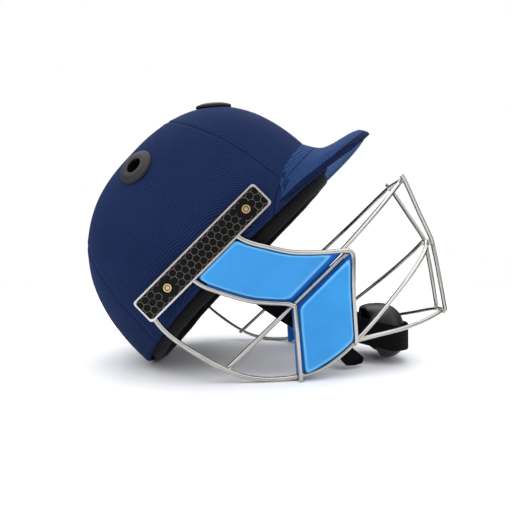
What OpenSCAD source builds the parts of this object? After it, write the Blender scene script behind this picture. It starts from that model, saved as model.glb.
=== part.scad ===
// Cricket helmet with a fabric cover, a peak, a welded wire face guard and a chin strap.
// Every piece is drawn as the helmet is worn: X forward, Y to the wearer's left, Z up,
// with the origin midway between the two side plates. seated() then tips the helmet back
// onto its nape, its lower guard wires and its chin cup, and stands it on the ground.

/* [Shell] */
// Length of the covered shell from brow to nape
shell_l = 257; // [245:1:270]
// Width of the covered shell over the ears
shell_w = 203; // [192:1:214]
// Height of the crown above the widest level
crown_h = 138; // [130:1:150]
// Drop of the widest level below the plate centres
girth_drop = 10; // [6:1:14]
// Distance of the shell centre ahead of the plate centres
shell_fwd = 8; // [5:1:11]
// Drop of the rim below the plate centres at the brow
rim_front = 17; // [14:0.5:20]
// Drop of the rim at the ears
rim_side = 16; // [14:0.5:20]
// Drop of the rim at the nape
rim_rear = 28; // [24:0.5:31]
// Wall of the moulded shell
shell_t = 3.4; // [2.5:0.1:4]
// Thickness of the fabric cover
cover_t = 1.2; // [0.8:0.1:1.6]
// Width of the sewn seam between two cover panels
seam_gap = 0.8; // [0.4:0.1:1.2]

/* [Peak] */
// Reach of the peak in front of the brow
peak_reach = 55; // [50:1:66]
// Drop of the peak's front edge below the plate centres
peak_drop = 20; // [16:0.5:24]
// Thickness of the stiff board in the peak
peak_board_t = 3; // [2:0.1:3.6]

/* [Lining] */
// Thickness of the foam liner
liner_t = 11; // [9:0.5:13]
// Thickness of the comfort pads at their crown
comfort_t = 7; // [5:0.5:9]
// Gap between a soft piece and its neighbour
soft_gap = 0.4; // [0.3:0.05:0.5]

/* [Vents] */
// Outer diameter of a vent eyelet
vent_d = 34; // [30:0.5:38]
// Bore of a vent eyelet
vent_bore = 14.5; // [11:0.5:17]
// Height of a vent eyelet above the cover
vent_rise = 3; // [2:0.1:4]

/* [Side plates] */
// Length of a side plate
plate_l = 132; // [124:1:140]
// Height of a side plate
plate_h = 21.4; // [19:0.2:24]
// Thickness of a side plate
plate_t = 1.4; // [1:0.1:2]
// Thickness of the dark insert on a side plate
insert_t = 0.8; // [0.5:0.1:1.2]
// Distance from one plate screw to the other
screw_pitch = 86; // [78:1:92]
// Distance of the screw pair ahead of the plate centre
screw_fwd = 5; // [2:0.5:8]
// Diameter of a plate screw
screw_d = 3; // [2.5:0.1:3.5]
// Outer diameter of a brass ferrule's flange
ferrule_d = 7.2; // [6.6:0.1:8]

/* [Face guard] */
// Diameter of the guard wire
wire_d = 4; // [3.4:0.1:4.4]
// Reach of the top bar ahead of the plate centres
guard_reach = 178; // [170:1:186]
// Drop of the chin bar below the plate centres
guard_drop = 198; // [190:1:206]
// Thickness of a guard pad's flange behind the wires
guard_pad_t = 5; // [4:0.5:7]
// Margin between a raised pad face and the wires
guard_pad_margin = 4; // [3.4:0.1:6]

/* [Chin strap] */
// Width of the strap webbing
strap_w = 24; // [20:0.5:26]
// Thickness of the strap webbing
strap_t = 1.6; // [1.2:0.1:2]
// Reach of the strap from its anchors to the cup centre
strap_reach = 154; // [150:1:159]
// Drop of the cup centre below the strap anchors
strap_drop = 76; // [73:0.5:77]
// Travel of the strap slider to each side of where it lies
slider_travel = 6; // [3:0.5:8]
// Height of the chin cup
cup_h = 54; // [48:1:54]
// Width of the chin cup from side to side
cup_w = 60; // [52:1:62]
// Depth of the chin cup
cup_d = 38; // [34:1:44]
// Wall of the chin cup
cup_t = 3.5; // [2.5:0.1:4.5]

/* [Stance] */
// Angle that the helmet is tipped back on its stand
tip_angle = 45; // [43:0.5:47]

/* [Hidden] */

navy = [0.12, 0.17, 0.35];
azure = [0.22, 0.56, 0.85];
steel = [0.74, 0.75, 0.77];
black = [0.09, 0.09, 0.10];
brass = [0.78, 0.62, 0.30];

overrun = 1;
layer_gap = 0.3;
fit_gap = 0.1;
RIGHT = -1;
LEFT = 1;

// Roundness of the dome: 2 is an ellipse, and a larger number is boxier.
front_power = 2.7;
rear_power = 2.2;
plan_power = 2.5;
dome_facets = 48;
dome_rings = 12;

// Depth of each layer below the outer face of the cover
cover_in = cover_t;
shell_out = cover_t + layer_gap;
shell_in = shell_out + shell_t;
liner_out = shell_in + soft_gap;
liner_in = liner_out + liner_t;
comfort_out = liner_in + 2 * soft_gap;

function lerp(a, b, s) = a + (b - a) * s;
function unit(v) = v / norm(v);
function spow(x, p) = sign(x) * pow(abs(x), p);
function flip_y(p) = [p[0], -p[1], p[2]];
function reversed(list) = [for (i = [len(list) - 1:-1:0]) list[i]];

// Height of the rim and roundness of the dome at an azimuth, where 0 is the brow
function rim_z(az) = -rim_side
    + (cos(az) > 0 ? rim_side - rim_front : rim_side - rim_rear) * pow(cos(az), 2);
function dome_power(az) = lerp(rear_power, front_power, (1 + cos(az)) / 2);

// Elevation on the layer t deep that lies at height z
function elevation(az, z, t) =
    asin(spow((z + girth_drop) / (crown_h - t), dome_power(az) / 2));
function dome_pt(az, el, t) = let (
        p = 2 / dome_power(az),
        r = spow(cos(el), p))
    [shell_fwd + (shell_l / 2 - t) * spow(cos(az), 2 / plan_power) * r,
     (shell_w / 2 - t) * spow(sin(az), 2 / plan_power) * r,
     (crown_h - t) * spow(sin(el), p) - girth_drop];
function dome_at(az, z, t) = dome_pt(az, elevation(az, z, t), t);
function dome_normal(az, el) = let (
        step = 1,
        across = dome_pt(az + step, el, 0) - dome_pt(az - step, el, 0),
        up = dome_pt(az, el + step, 0) - dome_pt(az, el - step, 0))
    unit(cross(across, up));
// Half width of a layer at the height of the plate centres, x ahead of them
function side_y(x, t) = let (
        along = abs((x - shell_fwd) / (shell_l / 2 - t)),
        up = pow(girth_drop / (crown_h - t), dome_power(90)))
    (shell_w / 2 - t) * pow(pow(1 - up, plan_power / dome_power(90)) - pow(along, plan_power),
        1 / plan_power);

// A closed wall between two domes of rings, each ring from the open rim to the pole
module bowl(outer, inner, pole_out, pole_in) {
    m = len(outer);
    n = len(outer[0]);
    k = m * n;
    points = concat([for (r = outer) each r], [for (r = inner) each r], [pole_out, pole_in]);
    faces = [
        for (i = [0:m - 2]) for (j = [0:n - 1]) let (a = i * n + j, b = i * n + (j + 1) % n)
            each [[a, a + n, b], [b, a + n, b + n],
                  [k + a, k + b, k + a + n], [k + b, k + b + n, k + a + n]],
        for (j = [0:n - 1]) let (a = (m - 1) * n + j, b = (m - 1) * n + (j + 1) % n)
            each [[a, 2 * k, b], [k + a, k + b, 2 * k + 1]],
        for (j = [0:n - 1]) let (b = (j + 1) % n)
            each [[j, b, k + j], [b, k + b, k + j]]];
    polyhedron(points, faces);
}
// The dome between depth t_out and depth t_in, with its rim raised by lift
module dome_layer(t_out, t_in, lift = 0) {
    function ring(i, t) = [for (j = [0:dome_facets - 1]) let (
            az = 360 * j / dome_facets,
            low = elevation(az, rim_z(az) + lift, t))
        dome_pt(az, lerp(low, 90, i / dome_rings), t)];
    function rings(t) = [for (i = [0:dome_rings - 1]) ring(i, t)];
    function pole(t) = [shell_fwd, 0, crown_h - t - girth_drop];
    bowl(rings(t_out), rings(t_in), pole(t_out), pole(t_in));
}

// A closed solid between two grids of points, both seen with rows going up
module slab(outer, inner) {
    m = len(outer);
    n = len(outer[0]);
    k = m * n;
    points = concat([for (row = outer) each row], [for (row = inner) each row]);
    faces = [
        for (i = [0:m - 2]) for (j = [0:n - 2]) let (a = i * n + j)
            each [[a, a + n, a + 1], [a + 1, a + n, a + n + 1],
                  [k + a, k + a + 1, k + a + n], [k + a + 1, k + a + n + 1, k + a + n]],
        for (i = [0:m - 2]) let (a = i * n, b = i * n + n - 1)
            each [[a, k + a, a + n], [a + n, k + a, k + a + n],
                  [b, b + n, k + b], [b + n, k + b + n, k + b]],
        for (j = [0:n - 2]) let (a = j, b = (m - 1) * n + j)
            each [[a, a + 1, k + a], [a + 1, k + a + 1, k + a],
                  [b, k + b, b + 1], [b + 1, k + b, k + b + 1]]];
    polyhedron(points, faces);
}

// A closed solid through rings of points, the first at the back and the last at the front
module ring_stack(rings) {
    n = len(rings[0]);
    m = len(rings);
    function middle(ring) = [for (c = [0:2]) [for (p = ring) p[c]] * [for (p = ring) 1] / n];
    points = concat([for (ring = rings) each ring], [middle(rings[0]), middle(rings[m - 1])]);
    faces = [
        for (i = [0:m - 2]) for (j = [0:n - 1]) let (a = i * n + j, b = i * n + (j + 1) % n)
            each [[a, a + n, b], [b, a + n, b + n]],
        for (j = [0:n - 1]) let (b = (j + 1) % n)
            each [[m * n, j, b], [m * n + 1, (m - 1) * n + b, (m - 1) * n + j]]];
    polyhedron(points, faces);
}

// A smooth path through knots, with steps points from one knot to the next
function smooth(knots, steps) = let (last = len(knots) - 1) concat(
    [for (i = [0:last - 1]) for (k = [0:steps - 1]) let (
            a = knots[max(i - 1, 0)], b = knots[i],
            c = knots[i + 1], d = knots[min(i + 2, last)],
            s = k / steps)
        (b * 2 + (c - a) * s + (a * 2 - b * 5 + c * 4 - d) * s * s
            + (b * 3 - a - c * 3 + d) * s * s * s) / 2],
    [knots[last]]);
function tangents(path) = let (last = len(path) - 1)
    [for (i = [0:last]) unit(path[min(i + 1, last)] - path[max(i - 1, 0)])];
// Side vectors that turn as little as they can along the path
function carried(dirs, start) = [
    for (i = 0, v = unit(start - dirs[0] * (start * dirs[0])); i < len(dirs);
        i = i + 1,
        v = i < len(dirs) ? unit(v - dirs[i] * (v * dirs[i])) : v) v];

// A round wire along a path
module tube(path, d, sides = 10) {
    dirs = tangents(path);
    side = carried(dirs, [0.31, 0.95, 0.12]);
    rings = [for (i = [0:len(path) - 1]) let (w = cross(dirs[i], side[i]))
        [for (j = [0:sides - 1]) let (a = -360 * j / sides)
            path[i] + (side[i] * cos(a) + w * sin(a)) * d / 2]];
    ring_stack(rings);
}
// A round rod from one point to another
module rod(from, to, d) {
    v = to - from;
    translate(from)
        rotate([0, acos(v[2] / norm(v)), atan2(v[1], v[0])])
            cylinder(h = norm(v), d = d, $fn = 24);
}

// Side plates and the plane that the guard wires are welded in
wire_y = shell_w / 2 + layer_gap + 0.05 * wire_d + wire_d / 2;
plate_y = wire_y + wire_d / 2;
plate_face_y = plate_y + plate_t;
insert_y = plate_face_y + insert_t;
plate_r = plate_h * 0.12;
insert_margin = plate_h * 0.07;
ferrule_tube_d = ferrule_d * 0.72;
ferrule_flange_t = insert_t * 0.75;
screw_head_d = screw_d * 1.45;
screw_head_h = screw_d * 0.6;
nut_d = screw_d * 3;
nut_t = screw_d * 0.9;
screw_xs = [screw_fwd - screw_pitch / 2, screw_fwd + screw_pitch / 2];

// Guard knots as shares of the guard's reach, half width and drop
main_half_shares = [
    [-0.337, 1.000, -0.025], [-0.362, 0.986, 0.101], [-0.343, 0.942, 0.258],
    [-0.284, 0.880, 0.444], [-0.169, 0.817, 0.583], [0.000, 0.750, 0.684],
    [0.213, 0.663, 0.715], [0.438, 0.500, 0.725], [0.663, 0.317, 0.727],
    [0.820, 0.163, 0.717], [0.882, 0.048, 0.702]];
chin_half_shares = [
    [0.205, 0.625, 0.720], [0.287, 0.558, 0.773], [0.410, 0.413, 0.859],
    [0.511, 0.288, 0.922], [0.590, 0.192, 0.962], [0.652, 0.111, 0.990],
    [0.674, 0.029, 1.000]];
top_half_shares = [
    [0.461, 0.686, 0.396], [0.562, 0.615, 0.396], [0.758, 0.452, 0.394],
    [0.904, 0.317, 0.389], [0.972, 0.236, 0.387], [1.000, 0.154, 0.386]];
front_strut_shares = [
    [0.146, 0.998, -0.025], [0.166, 0.995, 0.076], [0.219, 0.935, 0.162],
    [0.287, 0.875, 0.253], [0.393, 0.784, 0.346], [0.472, 0.726, 0.407],
    [0.483, 0.721, 0.432], [0.461, 0.719, 0.460], [0.368, 0.714, 0.545],
    [0.199, 0.702, 0.716]];
rear_strut_shares = [
    [-0.124, 0.998, -0.025], [-0.107, 0.995, 0.074], [-0.082, 0.962, 0.136],
    [-0.006, 0.889, 0.268], [0.090, 0.817, 0.374], [0.112, 0.803, 0.409],
    [0.096, 0.804, 0.439], [-0.104, 0.827, 0.649]];
centre_strut_shares = [
    [1.010, 0.240, 0.364], [1.004, 0.221, 0.404], [0.952, 0.144, 0.566],
    [0.910, 0.091, 0.697], [0.880, 0.087, 0.745], [0.806, 0.091, 0.843],
    [0.677, 0.101, 1.006]];
rail_shares = [[0.494, 0.683, 0.419], [-0.320, 0.856, 0.399]];

function guard_pt(s) = [s[0] * guard_reach, s[1] * wire_y, -s[2] * guard_drop];
function guard_path(shares, steps) = smooth([for (s = shares) guard_pt(s)], steps);
function whole_path(half_shares, steps) = let (
        half = [for (s = half_shares) guard_pt(s)])
    smooth(concat([for (p = half) flip_y(p)], reversed(half)), steps);

main_path = whole_path(main_half_shares, 2);
chin_path = whole_path(chin_half_shares, 2);
top_path = whole_path(top_half_shares, 2);
front_strut_path = guard_path(front_strut_shares, 2);
rear_strut_path = guard_path(rear_strut_shares, 2);
centre_strut_path = guard_path(centre_strut_shares, 2);
rail_ends = [for (s = rail_shares) guard_pt(s)];

// Where the straps hang: a post on the inside of each ear
anchor_x = 5;
anchor_drop = 6;
anchor_y = shell_w / 2 - liner_in - soft_gap;
anchor_pin_d = 5;
anchor_head_d = 11;
anchor_head_t = 1.5;
anchor = [anchor_x, 0, -anchor_drop];

// Stance: the lowest guard wire touches the ground and the box is centred on the origin
function tipped(p) = [p[0] * cos(tip_angle) - p[2] * sin(tip_angle), p[1],
    p[0] * sin(tip_angle) + p[2] * cos(tip_angle)];
seat_z = wire_d / 2 - min([for (p = main_path) tipped(p)[2]]);
dome_rear = min([for (el = [-10:1:60]) tipped(dome_pt(180, el, 0))[0]]);
guard_front = max([for (p = centre_strut_path) tipped(p)[0]]) + wire_d / 2;
seat_x = -(dome_rear + guard_front) / 2;

module seated() {
    translate([seat_x, 0, seat_z]) rotate([0, -tip_angle, 0]) children();
}
// Places a piece that hangs from the strap anchors, level with the ground
module hung() {
    seated() translate(anchor) rotate([0, tip_angle, 0]) children();
}
module on_side(side) {
    mirror([0, side == LEFT ? 0 : 1, 0]) children();
}

// Azimuth and elevation of each vent: a pair above the brow and one over each ear
vent_angles = [[-20, 48], [20, 48], [-90, 47], [90, 47]];
vent_tube_d = vent_bore + vent_bore * 0.26;
module at_vent(angles) {
    p = dome_pt(angles[0], angles[1], 0);
    n = dome_normal(angles[0], angles[1]);
    translate(p) rotate([0, acos(n[2]), atan2(n[1], n[0])]) children();
}
module vent_holes(clearance) {
    for (angles = vent_angles) at_vent(angles)
        translate([0, 0, -liner_in * 2])
            cylinder(h = liner_in * 3, d = vent_tube_d + 2 * clearance, $fn = 48);
}
// A hole through the side of the dome at each plate screw
module side_holes(d) {
    for (side = [RIGHT, LEFT]) for (x = screw_xs)
        translate([x, side * shell_w / 4, 0]) rotate([-90 * side, 0, 0])
            cylinder(h = shell_w / 2, d = d, $fn = 32);
}

module outer_shell() {
    color([0.16, 0.17, 0.2]) seated() difference() {
        dome_layer(shell_out, shell_in, cover_t);
        vent_holes(layer_gap);
        side_holes(screw_d + 2 * fit_gap);
    }
}

// The cover is sewn from a front, a crown and a rear panel. Both seams run over the helmet
// from ear to ear, and are given from the side as shares of the shell's length and height.
front_seam_shares = [[0.339, -0.35], [0.335, 0], [0.319, 0.22], [0.295, 0.44], [0.262, 0.62],
    [0.232, 0.77], [0.212, 0.90], [0.200, 1.20]];
rear_seam_shares = [[-0.325, -0.35], [-0.319, 0], [-0.315, 0.22], [-0.307, 0.44],
    [-0.301, 0.62], [-0.297, 0.90], [-0.294, 1.20]];
// Everything ahead of a seam, moved ahead by shift
module ahead_of(shares, shift) {
    far = shell_l;
    line = [for (s = shares) [s[0] * shell_l + shift, s[1] * crown_h]];
    translate([0, shell_w, 0]) rotate([90, 0, 0]) linear_extrude(shell_w * 2)
        polygon(concat(line, [[far, line[len(line) - 1][1]], [far, line[0][1]]]));
}
module cover_cuts() {
    vent_holes(layer_gap);
    side_holes(ferrule_tube_d + 2 * fit_gap);
}
module cover_front() {
    color(navy) seated() difference() {
        intersection() {
            dome_layer(0, cover_in);
            ahead_of(front_seam_shares, seam_gap / 2);
        }
        cover_cuts();
    }
}
module cover_crown() {
    color(navy) seated() difference() {
        intersection() {
            dome_layer(0, cover_in);
            ahead_of(rear_seam_shares, seam_gap / 2);
        }
        ahead_of(front_seam_shares, -seam_gap / 2);
        cover_cuts();
    }
}
module cover_rear() {
    color(navy) seated() difference() {
        dome_layer(0, cover_in);
        ahead_of(rear_seam_shares, -seam_gap / 2);
        cover_cuts();
    }
}

// The peak's root runs round the brow, and its edge is a crescent. s runs from -1 at the
// left end to 1 at the right end, and r from the root to the edge.
peak_columns = 22;
peak_row_shares = [0, 0.18, 0.38, 0.58, 0.76, 0.9, 1];
peak_crown_shares = [0, -0.045, -0.03, 0.02, 0.06, 0.07, 0];
peak_root_az = 60;
peak_root_rise_share = 0.07;
peak_root_fall_share = 0.19;
peak_edge_half = shell_w * 0.466;
peak_side_droop_share = 0.12;
peak_gap = 0.35;
function peak_root(s, lift) = let (
        z = peak_reach * (peak_root_rise_share - peak_root_fall_share * pow(abs(s), 1.6)))
    dome_at(-s * peak_root_az, z + lift, -layer_gap);
function peak_edge(s, lift) = let (
        end_x = peak_root(1, 0)[0] + peak_reach * 0.08,
        tip_x = shell_fwd + shell_l / 2 + peak_reach,
        out = pow(1 - pow(abs(s), 2.1), 0.68))
    [lerp(end_x, tip_x, out), -s * peak_edge_half,
     -peak_drop - peak_drop * peak_side_droop_share * sin(180 * abs(s)) + lift];
function peak_pt(s, i, lift) =
    lerp(peak_root(s, lift), peak_edge(s, lift), peak_row_shares[i])
    + [0, 0, peak_reach * peak_crown_shares[i] * (1 - s * s)];
// A grid of points drawn in from its last row and its two end columns to the share kept
function drawn_in(grid, kept) = let (
        m = len(grid) - 1,
        n = len(grid[0]) - 1,
        rows = [for (i = [0:m]) i < m ? grid[i]
            : [for (j = [0:n]) lerp(grid[m - 1][j], grid[m][j], kept)]])
    [for (row = rows) [for (j = [0:n]) j == 0 ? lerp(row[1], row[0], kept)
        : j == n ? lerp(row[n - 1], row[n], kept) : row[j]]];
module peak_layer(bottom, top, kept = 1) {
    half = peak_columns / 2;
    function grid(lift) = drawn_in([for (i = [0:len(peak_row_shares) - 1])
        [for (j = [-half:half]) peak_pt(j / half, i, lift)]], kept);
    slab(grid(top), grid(bottom));
}
peak_half_t = peak_board_t / 2;
module peak_board() {
    color([0.2, 0.2, 0.24]) seated() peak_layer(-peak_half_t, peak_half_t, 0.7);
}
module peak_cover_top() {
    color(navy) seated() peak_layer(peak_half_t + peak_gap, peak_half_t + peak_gap + cover_t);
}
module peak_cover_under() {
    color(navy) seated() peak_layer(-peak_half_t - peak_gap - cover_t, -peak_half_t - peak_gap);
}

// Foam liner with a recess for each nut and a hole for each strap anchor
liner_lift = 3;
module foam_liner() {
    color(black) seated() difference() {
        dome_layer(liner_out, liner_in, liner_lift);
        vent_holes(soft_gap);
        side_holes(nut_d + 4 * soft_gap);
        for (side = [RIGHT, LEFT])
            translate([anchor_x, side * shell_w / 4, -anchor_drop]) rotate([-90 * side, 0, 0])
                cylinder(h = shell_w / 2, d = anchor_head_d + 2 * soft_gap, $fn = 32);
    }
}

// A comfort pad on the liner between two azimuths. It hangs below the rim by hang,
// reaches up to z_high, and is thickest away from its edges.
module comfort_pad(az_from, az_to, hang, z_high, columns, rows) {
    function crown(i, j) = pow(sin(180 * i / rows) * sin(180 * j / columns), 0.3);
    function grid(inner) = [for (i = [0:rows]) [for (j = [0:columns]) let (
            az = lerp(az_from, az_to, j / columns),
            z = lerp(rim_z(az) - hang, z_high, i / rows),
            t = comfort_out + (inner ? comfort_t * (0.35 + 0.65 * crown(i, j)) : 0))
        dome_at(az, z, t)]];
    slab(grid(false), grid(true));
}
brow_hang = 9;
nape_hang = 5;
pad_top = 22;
pad_parting = 1.2;
module brow_pad() {
    color(black) seated()
        comfort_pad(-50 + pad_parting, 50 - pad_parting, brow_hang, pad_top, 14, 6);
}
module temple_pad_left() {
    color(black) seated() comfort_pad(50, 73, brow_hang, pad_top, 5, 6);
}
module temple_pad_right() {
    color(black) seated() comfort_pad(-73, -50, brow_hang, pad_top, 5, 6);
}
module ear_pad_left() {
    color(black) seated() comfort_pad(100, 130, brow_hang, pad_top, 6, 6);
}
module ear_pad_right() {
    color(black) seated() comfort_pad(-130, -100, brow_hang, pad_top, 6, 6);
}
module nape_pad() {
    color(black) seated()
        comfort_pad(130 + pad_parting, 230 - pad_parting, nape_hang, pad_top, 14, 6);
}
// A round pad under the crown: shares of its radius and of its thickness, from the liner in
crown_pad_angle = 24;
crown_pad_shares = [[1, 0.05], [1.06, 0.25], [1.06, 0.6], [1, 0.9], [0.6, 1]];
module crown_pad() {
    n = 24;
    color(black) seated() ring_stack([for (s = crown_pad_shares)
        [for (j = [0:n - 1])
            dome_pt(-360 * j / n, 90 - crown_pad_angle * s[0], comfort_out + comfort_t * s[1])]]);
}

module vent_eyelet() {
    r = vent_d / 2;
    bore = vent_bore / 2;
    tube_r = vent_tube_d / 2;
    fall = vent_rise * 0.2;
    rotate_extrude($fn = 64) polygon([
        [bore, -liner_out - liner_t / 2], [tube_r, -liner_out - liner_t / 2],
        [tube_r, layer_gap], [r * 0.9, -fall + layer_gap], [r, -fall + layer_gap * 2],
        [r, vent_rise * 0.1], [r * 0.94, vent_rise * 0.42], [r * 0.7, vent_rise * 0.95],
        [r * 0.62, vent_rise], [bore * 1.25, vent_rise], [bore * 1.08, vent_rise * 0.9],
        [bore, vent_rise * 0.6]]);
}
module vent(index) {
    color([0.12, 0.12, 0.13]) seated() at_vent(vent_angles[index]) vent_eyelet();
}
module vent_front_right() {
    vent(0);
}
module vent_front_left() {
    vent(1);
}
module vent_side_right() {
    vent(2);
}
module vent_side_left() {
    vent(3);
}

// Left plate pieces, mirrored for the right
module plate_outline(margin) {
    r = plate_r;
    x = plate_l / 2 - margin - r;
    z = plate_h / 2 - margin - r;
    hull() for (i = [-1, 1]) for (j = [-1, 1]) translate([i * x, j * z]) circle(r = r, $fn = 24);
}
module plate_sheet(y, t, margin, hole_d) {
    translate([0, y + t, 0]) rotate([90, 0, 0]) linear_extrude(t) difference() {
        plate_outline(margin);
        for (x = screw_xs) translate([x, 0]) circle(d = hole_d, $fn = 32);
    }
}
module side_plate() {
    plate_sheet(plate_y, plate_t, 0, ferrule_tube_d + 2 * fit_gap);
}
module plate_insert() {
    plate_sheet(plate_face_y, insert_t, insert_margin, ferrule_d + 2 * fit_gap);
}
// A ferrule's flange lies on the plate, just below the face of the insert round it
module ferrule(x) {
    tube_r = ferrule_tube_d / 2;
    bore = screw_d / 2 + fit_gap;
    seat_r = screw_head_d / 2 + fit_gap;
    foot = side_y(x, shell_out) + layer_gap * 2;
    top = plate_face_y + ferrule_flange_t;
    head_seat = top - screw_head_h;
    translate([x, 0, 0]) rotate([-90, 0, 0]) rotate_extrude($fn = 48) polygon([
        [bore, foot], [tube_r, foot], [tube_r, plate_face_y], [ferrule_d / 2, plate_face_y],
        [ferrule_d / 2, top - ferrule_flange_t / 2], [ferrule_d / 2 - ferrule_flange_t / 2, top],
        [seat_r, top], [seat_r, head_seat], [bore, head_seat]]);
}
module plate_ferrules() {
    for (x = screw_xs) ferrule(x);
}
module plate_screw(x) {
    top = plate_face_y + ferrule_flange_t - screw_head_h * 0.25;
    low = plate_face_y + ferrule_flange_t - screw_head_h;
    tip = side_y(x, shell_in) - nut_t * 1.6;
    translate([x, 0, 0]) rotate([-90, 0, 0]) {
        translate([0, 0, tip]) cylinder(h = low - tip, d = screw_d, $fn = 32);
        translate([0, 0, low]) cylinder(h = top - low, d = screw_head_d, $fn = 32);
    }
}
module plate_screws() {
    for (x = screw_xs) plate_screw(x);
}
module plate_nut(x) {
    seat = side_y(x, shell_in) - layer_gap * 4;
    translate([x, 0, 0]) rotate([-90, 0, 0]) translate([0, 0, seat - nut_t]) difference() {
        cylinder(h = nut_t, d = nut_d, $fn = 6);
        translate([0, 0, -overrun])
            cylinder(h = nut_t + 2 * overrun, d = screw_d + 2 * fit_gap, $fn = 32);
    }
}
module plate_nuts() {
    for (x = screw_xs) plate_nut(x);
}
module side_plate_left() {
    color(steel) seated() side_plate();
}
module side_plate_right() {
    color(steel) seated() on_side(RIGHT) side_plate();
}
module plate_insert_left() {
    color(black) seated() plate_insert();
}
module plate_insert_right() {
    color(black) seated() on_side(RIGHT) plate_insert();
}
module plate_ferrules_left() {
    color(brass) seated() plate_ferrules();
}
module plate_ferrules_right() {
    color(brass) seated() on_side(RIGHT) plate_ferrules();
}
module plate_screws_left() {
    color(steel) seated() plate_screws();
}
module plate_screws_right() {
    color(steel) seated() on_side(RIGHT) plate_screws();
}
module plate_nuts_left() {
    color(steel) seated() plate_nuts();
}
module plate_nuts_right() {
    color(steel) seated() on_side(RIGHT) plate_nuts();
}

module main_bar() {
    color(steel) seated() tube(main_path, wire_d);
}
module chin_bar() {
    color(steel) seated() tube(chin_path, wire_d);
}
module top_bar() {
    color(steel) seated() tube(top_path, wire_d);
}
module side_rail_left() {
    color(steel) seated() rod(rail_ends[0], rail_ends[1], wire_d);
}
module side_rail_right() {
    color(steel) seated() on_side(RIGHT) rod(rail_ends[0], rail_ends[1], wire_d);
}
module front_strut_left() {
    color(steel) seated() tube(front_strut_path, wire_d);
}
module front_strut_right() {
    color(steel) seated() on_side(RIGHT) tube(front_strut_path, wire_d);
}
module rear_strut_left() {
    color(steel) seated() tube(rear_strut_path, wire_d);
}
module rear_strut_right() {
    color(steel) seated() on_side(RIGHT) tube(rear_strut_path, wire_d);
}
module centre_strut_left() {
    color(steel) seated() tube(centre_strut_path, wire_d);
}
module centre_strut_right() {
    color(steel) seated() on_side(RIGHT) tube(centre_strut_path, wire_d);
}

// Guard pads fill the cells between the front strut and the rear strut. A cell gives the
// drop of its top and foot on the rear strut, then on the front strut, as shares of the
// guard's drop. p runs from the rear strut to the front strut, and q from top to foot.
function strut_at(path, drop_share) = let (z = -drop_share * guard_drop)
    [lookup(z, [for (p = path) [p[2], p[0]]]), lookup(z, [for (p = path) [p[2], p[1]]]), z];
function cell_pt(cell, p, q, out) =
    lerp(strut_at(rear_strut_path, lerp(cell[0], cell[1], q)),
         strut_at(front_strut_path, lerp(cell[2], cell[3], q)), p) + [0, out, 0];
// A rounded rectangle in p and q, drawn in steps along its sides and round its corners.
// near is the margin on the rear strut's side, and far on the front strut's side.
function cell_ring(cell, near, far, top, foot, out) = let (
        r = cell_corner,
        lo_p = near + r, hi_p = 1 - far - r, lo_q = top + r, hi_q = 1 - foot - r,
        corners = [[hi_p, hi_q, 0], [lo_p, hi_q, 90], [lo_p, lo_q, 180], [hi_p, lo_q, 270]])
    [for (i = [0:3]) let (c = corners[i], d = corners[(i + 1) % 4]) each concat(
        [for (k = [0:3]) let (a = c[2] + 90 * k / 3)
            cell_pt(cell, c[0] + r * cos(a), c[1] + r * sin(a), out)],
        [for (k = [1:3]) let (a = c[2] + 90, s = k / 4)
            cell_pt(cell, lerp(c[0], d[0], s) + r * cos(a), lerp(c[1], d[1], s) + r * sin(a), out)])];
cell_corner = 0.07;
// Back face, flange, raised sides and face of a guard pad. The raised part has its own
// margins, given as four numbers in the order near, far, top and foot.
module guard_pad(cell, flange, raised, face_top) {
    back = -wire_d * 1.5 - layer_gap;
    deep = wire_d * 0.15;
    face = wire_d * 0.5;
    soft = raised[1] * 0.4;
    middle = 0.36;
    ring_stack([
        cell_ring(cell, middle, middle, middle, middle, back - guard_pad_t),
        cell_ring(cell, flange[0], flange[1], flange[2], flange[3], back - guard_pad_t),
        cell_ring(cell, flange[0], flange[1], flange[2], flange[3], back),
        cell_ring(cell, raised[0], raised[1], raised[2], raised[3], back + deep),
        cell_ring(cell, raised[0], raised[1], raised[2], raised[3], -deep),
        cell_ring(cell, raised[0], raised[1], face_top, raised[3], 0),
        cell_ring(cell, raised[0], raised[1], face_top, raised[3], face - 2 * deep),
        cell_ring(cell, raised[0] + soft, raised[1] + soft, face_top + soft, raised[3] + soft, face),
        cell_ring(cell, middle / 2, middle / 2, face_top + middle / 2, middle / 2, face),
        cell_ring(cell, middle, middle, middle, middle, face)]);
}
cheek_cell = [0.056, 0.409, 0.056, 0.407];
jaw_cell = [0.409, 0.649, 0.407, 0.716];
cell_width = guard_reach * 0.36;
margin_share = guard_pad_margin / cell_width;
module cheek_pad() {
    m = margin_share;
    guard_pad(cheek_cell, [m * 0.2, -m * 0.3, m * 1.6, m * 0.1], [m * 1.5, m, m * 2.2, m * 1.5], m * 0.6);
}
module jaw_pad() {
    m = margin_share;
    guard_pad(jaw_cell, [-m * 0.8, -m * 0.3, m * 0.4, -m * 0.2], [m * 1.2, m, m * 1.9, m], m * 1.9);
}
module cheek_guard_pad_left() {
    color(azure) seated() cheek_pad();
}
module cheek_guard_pad_right() {
    color(azure) seated() on_side(RIGHT) cheek_pad();
}
module jaw_guard_pad_left() {
    color(azure) seated() jaw_pad();
}
module jaw_guard_pad_right() {
    color(azure) seated() on_side(RIGHT) jaw_pad();
}

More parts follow.
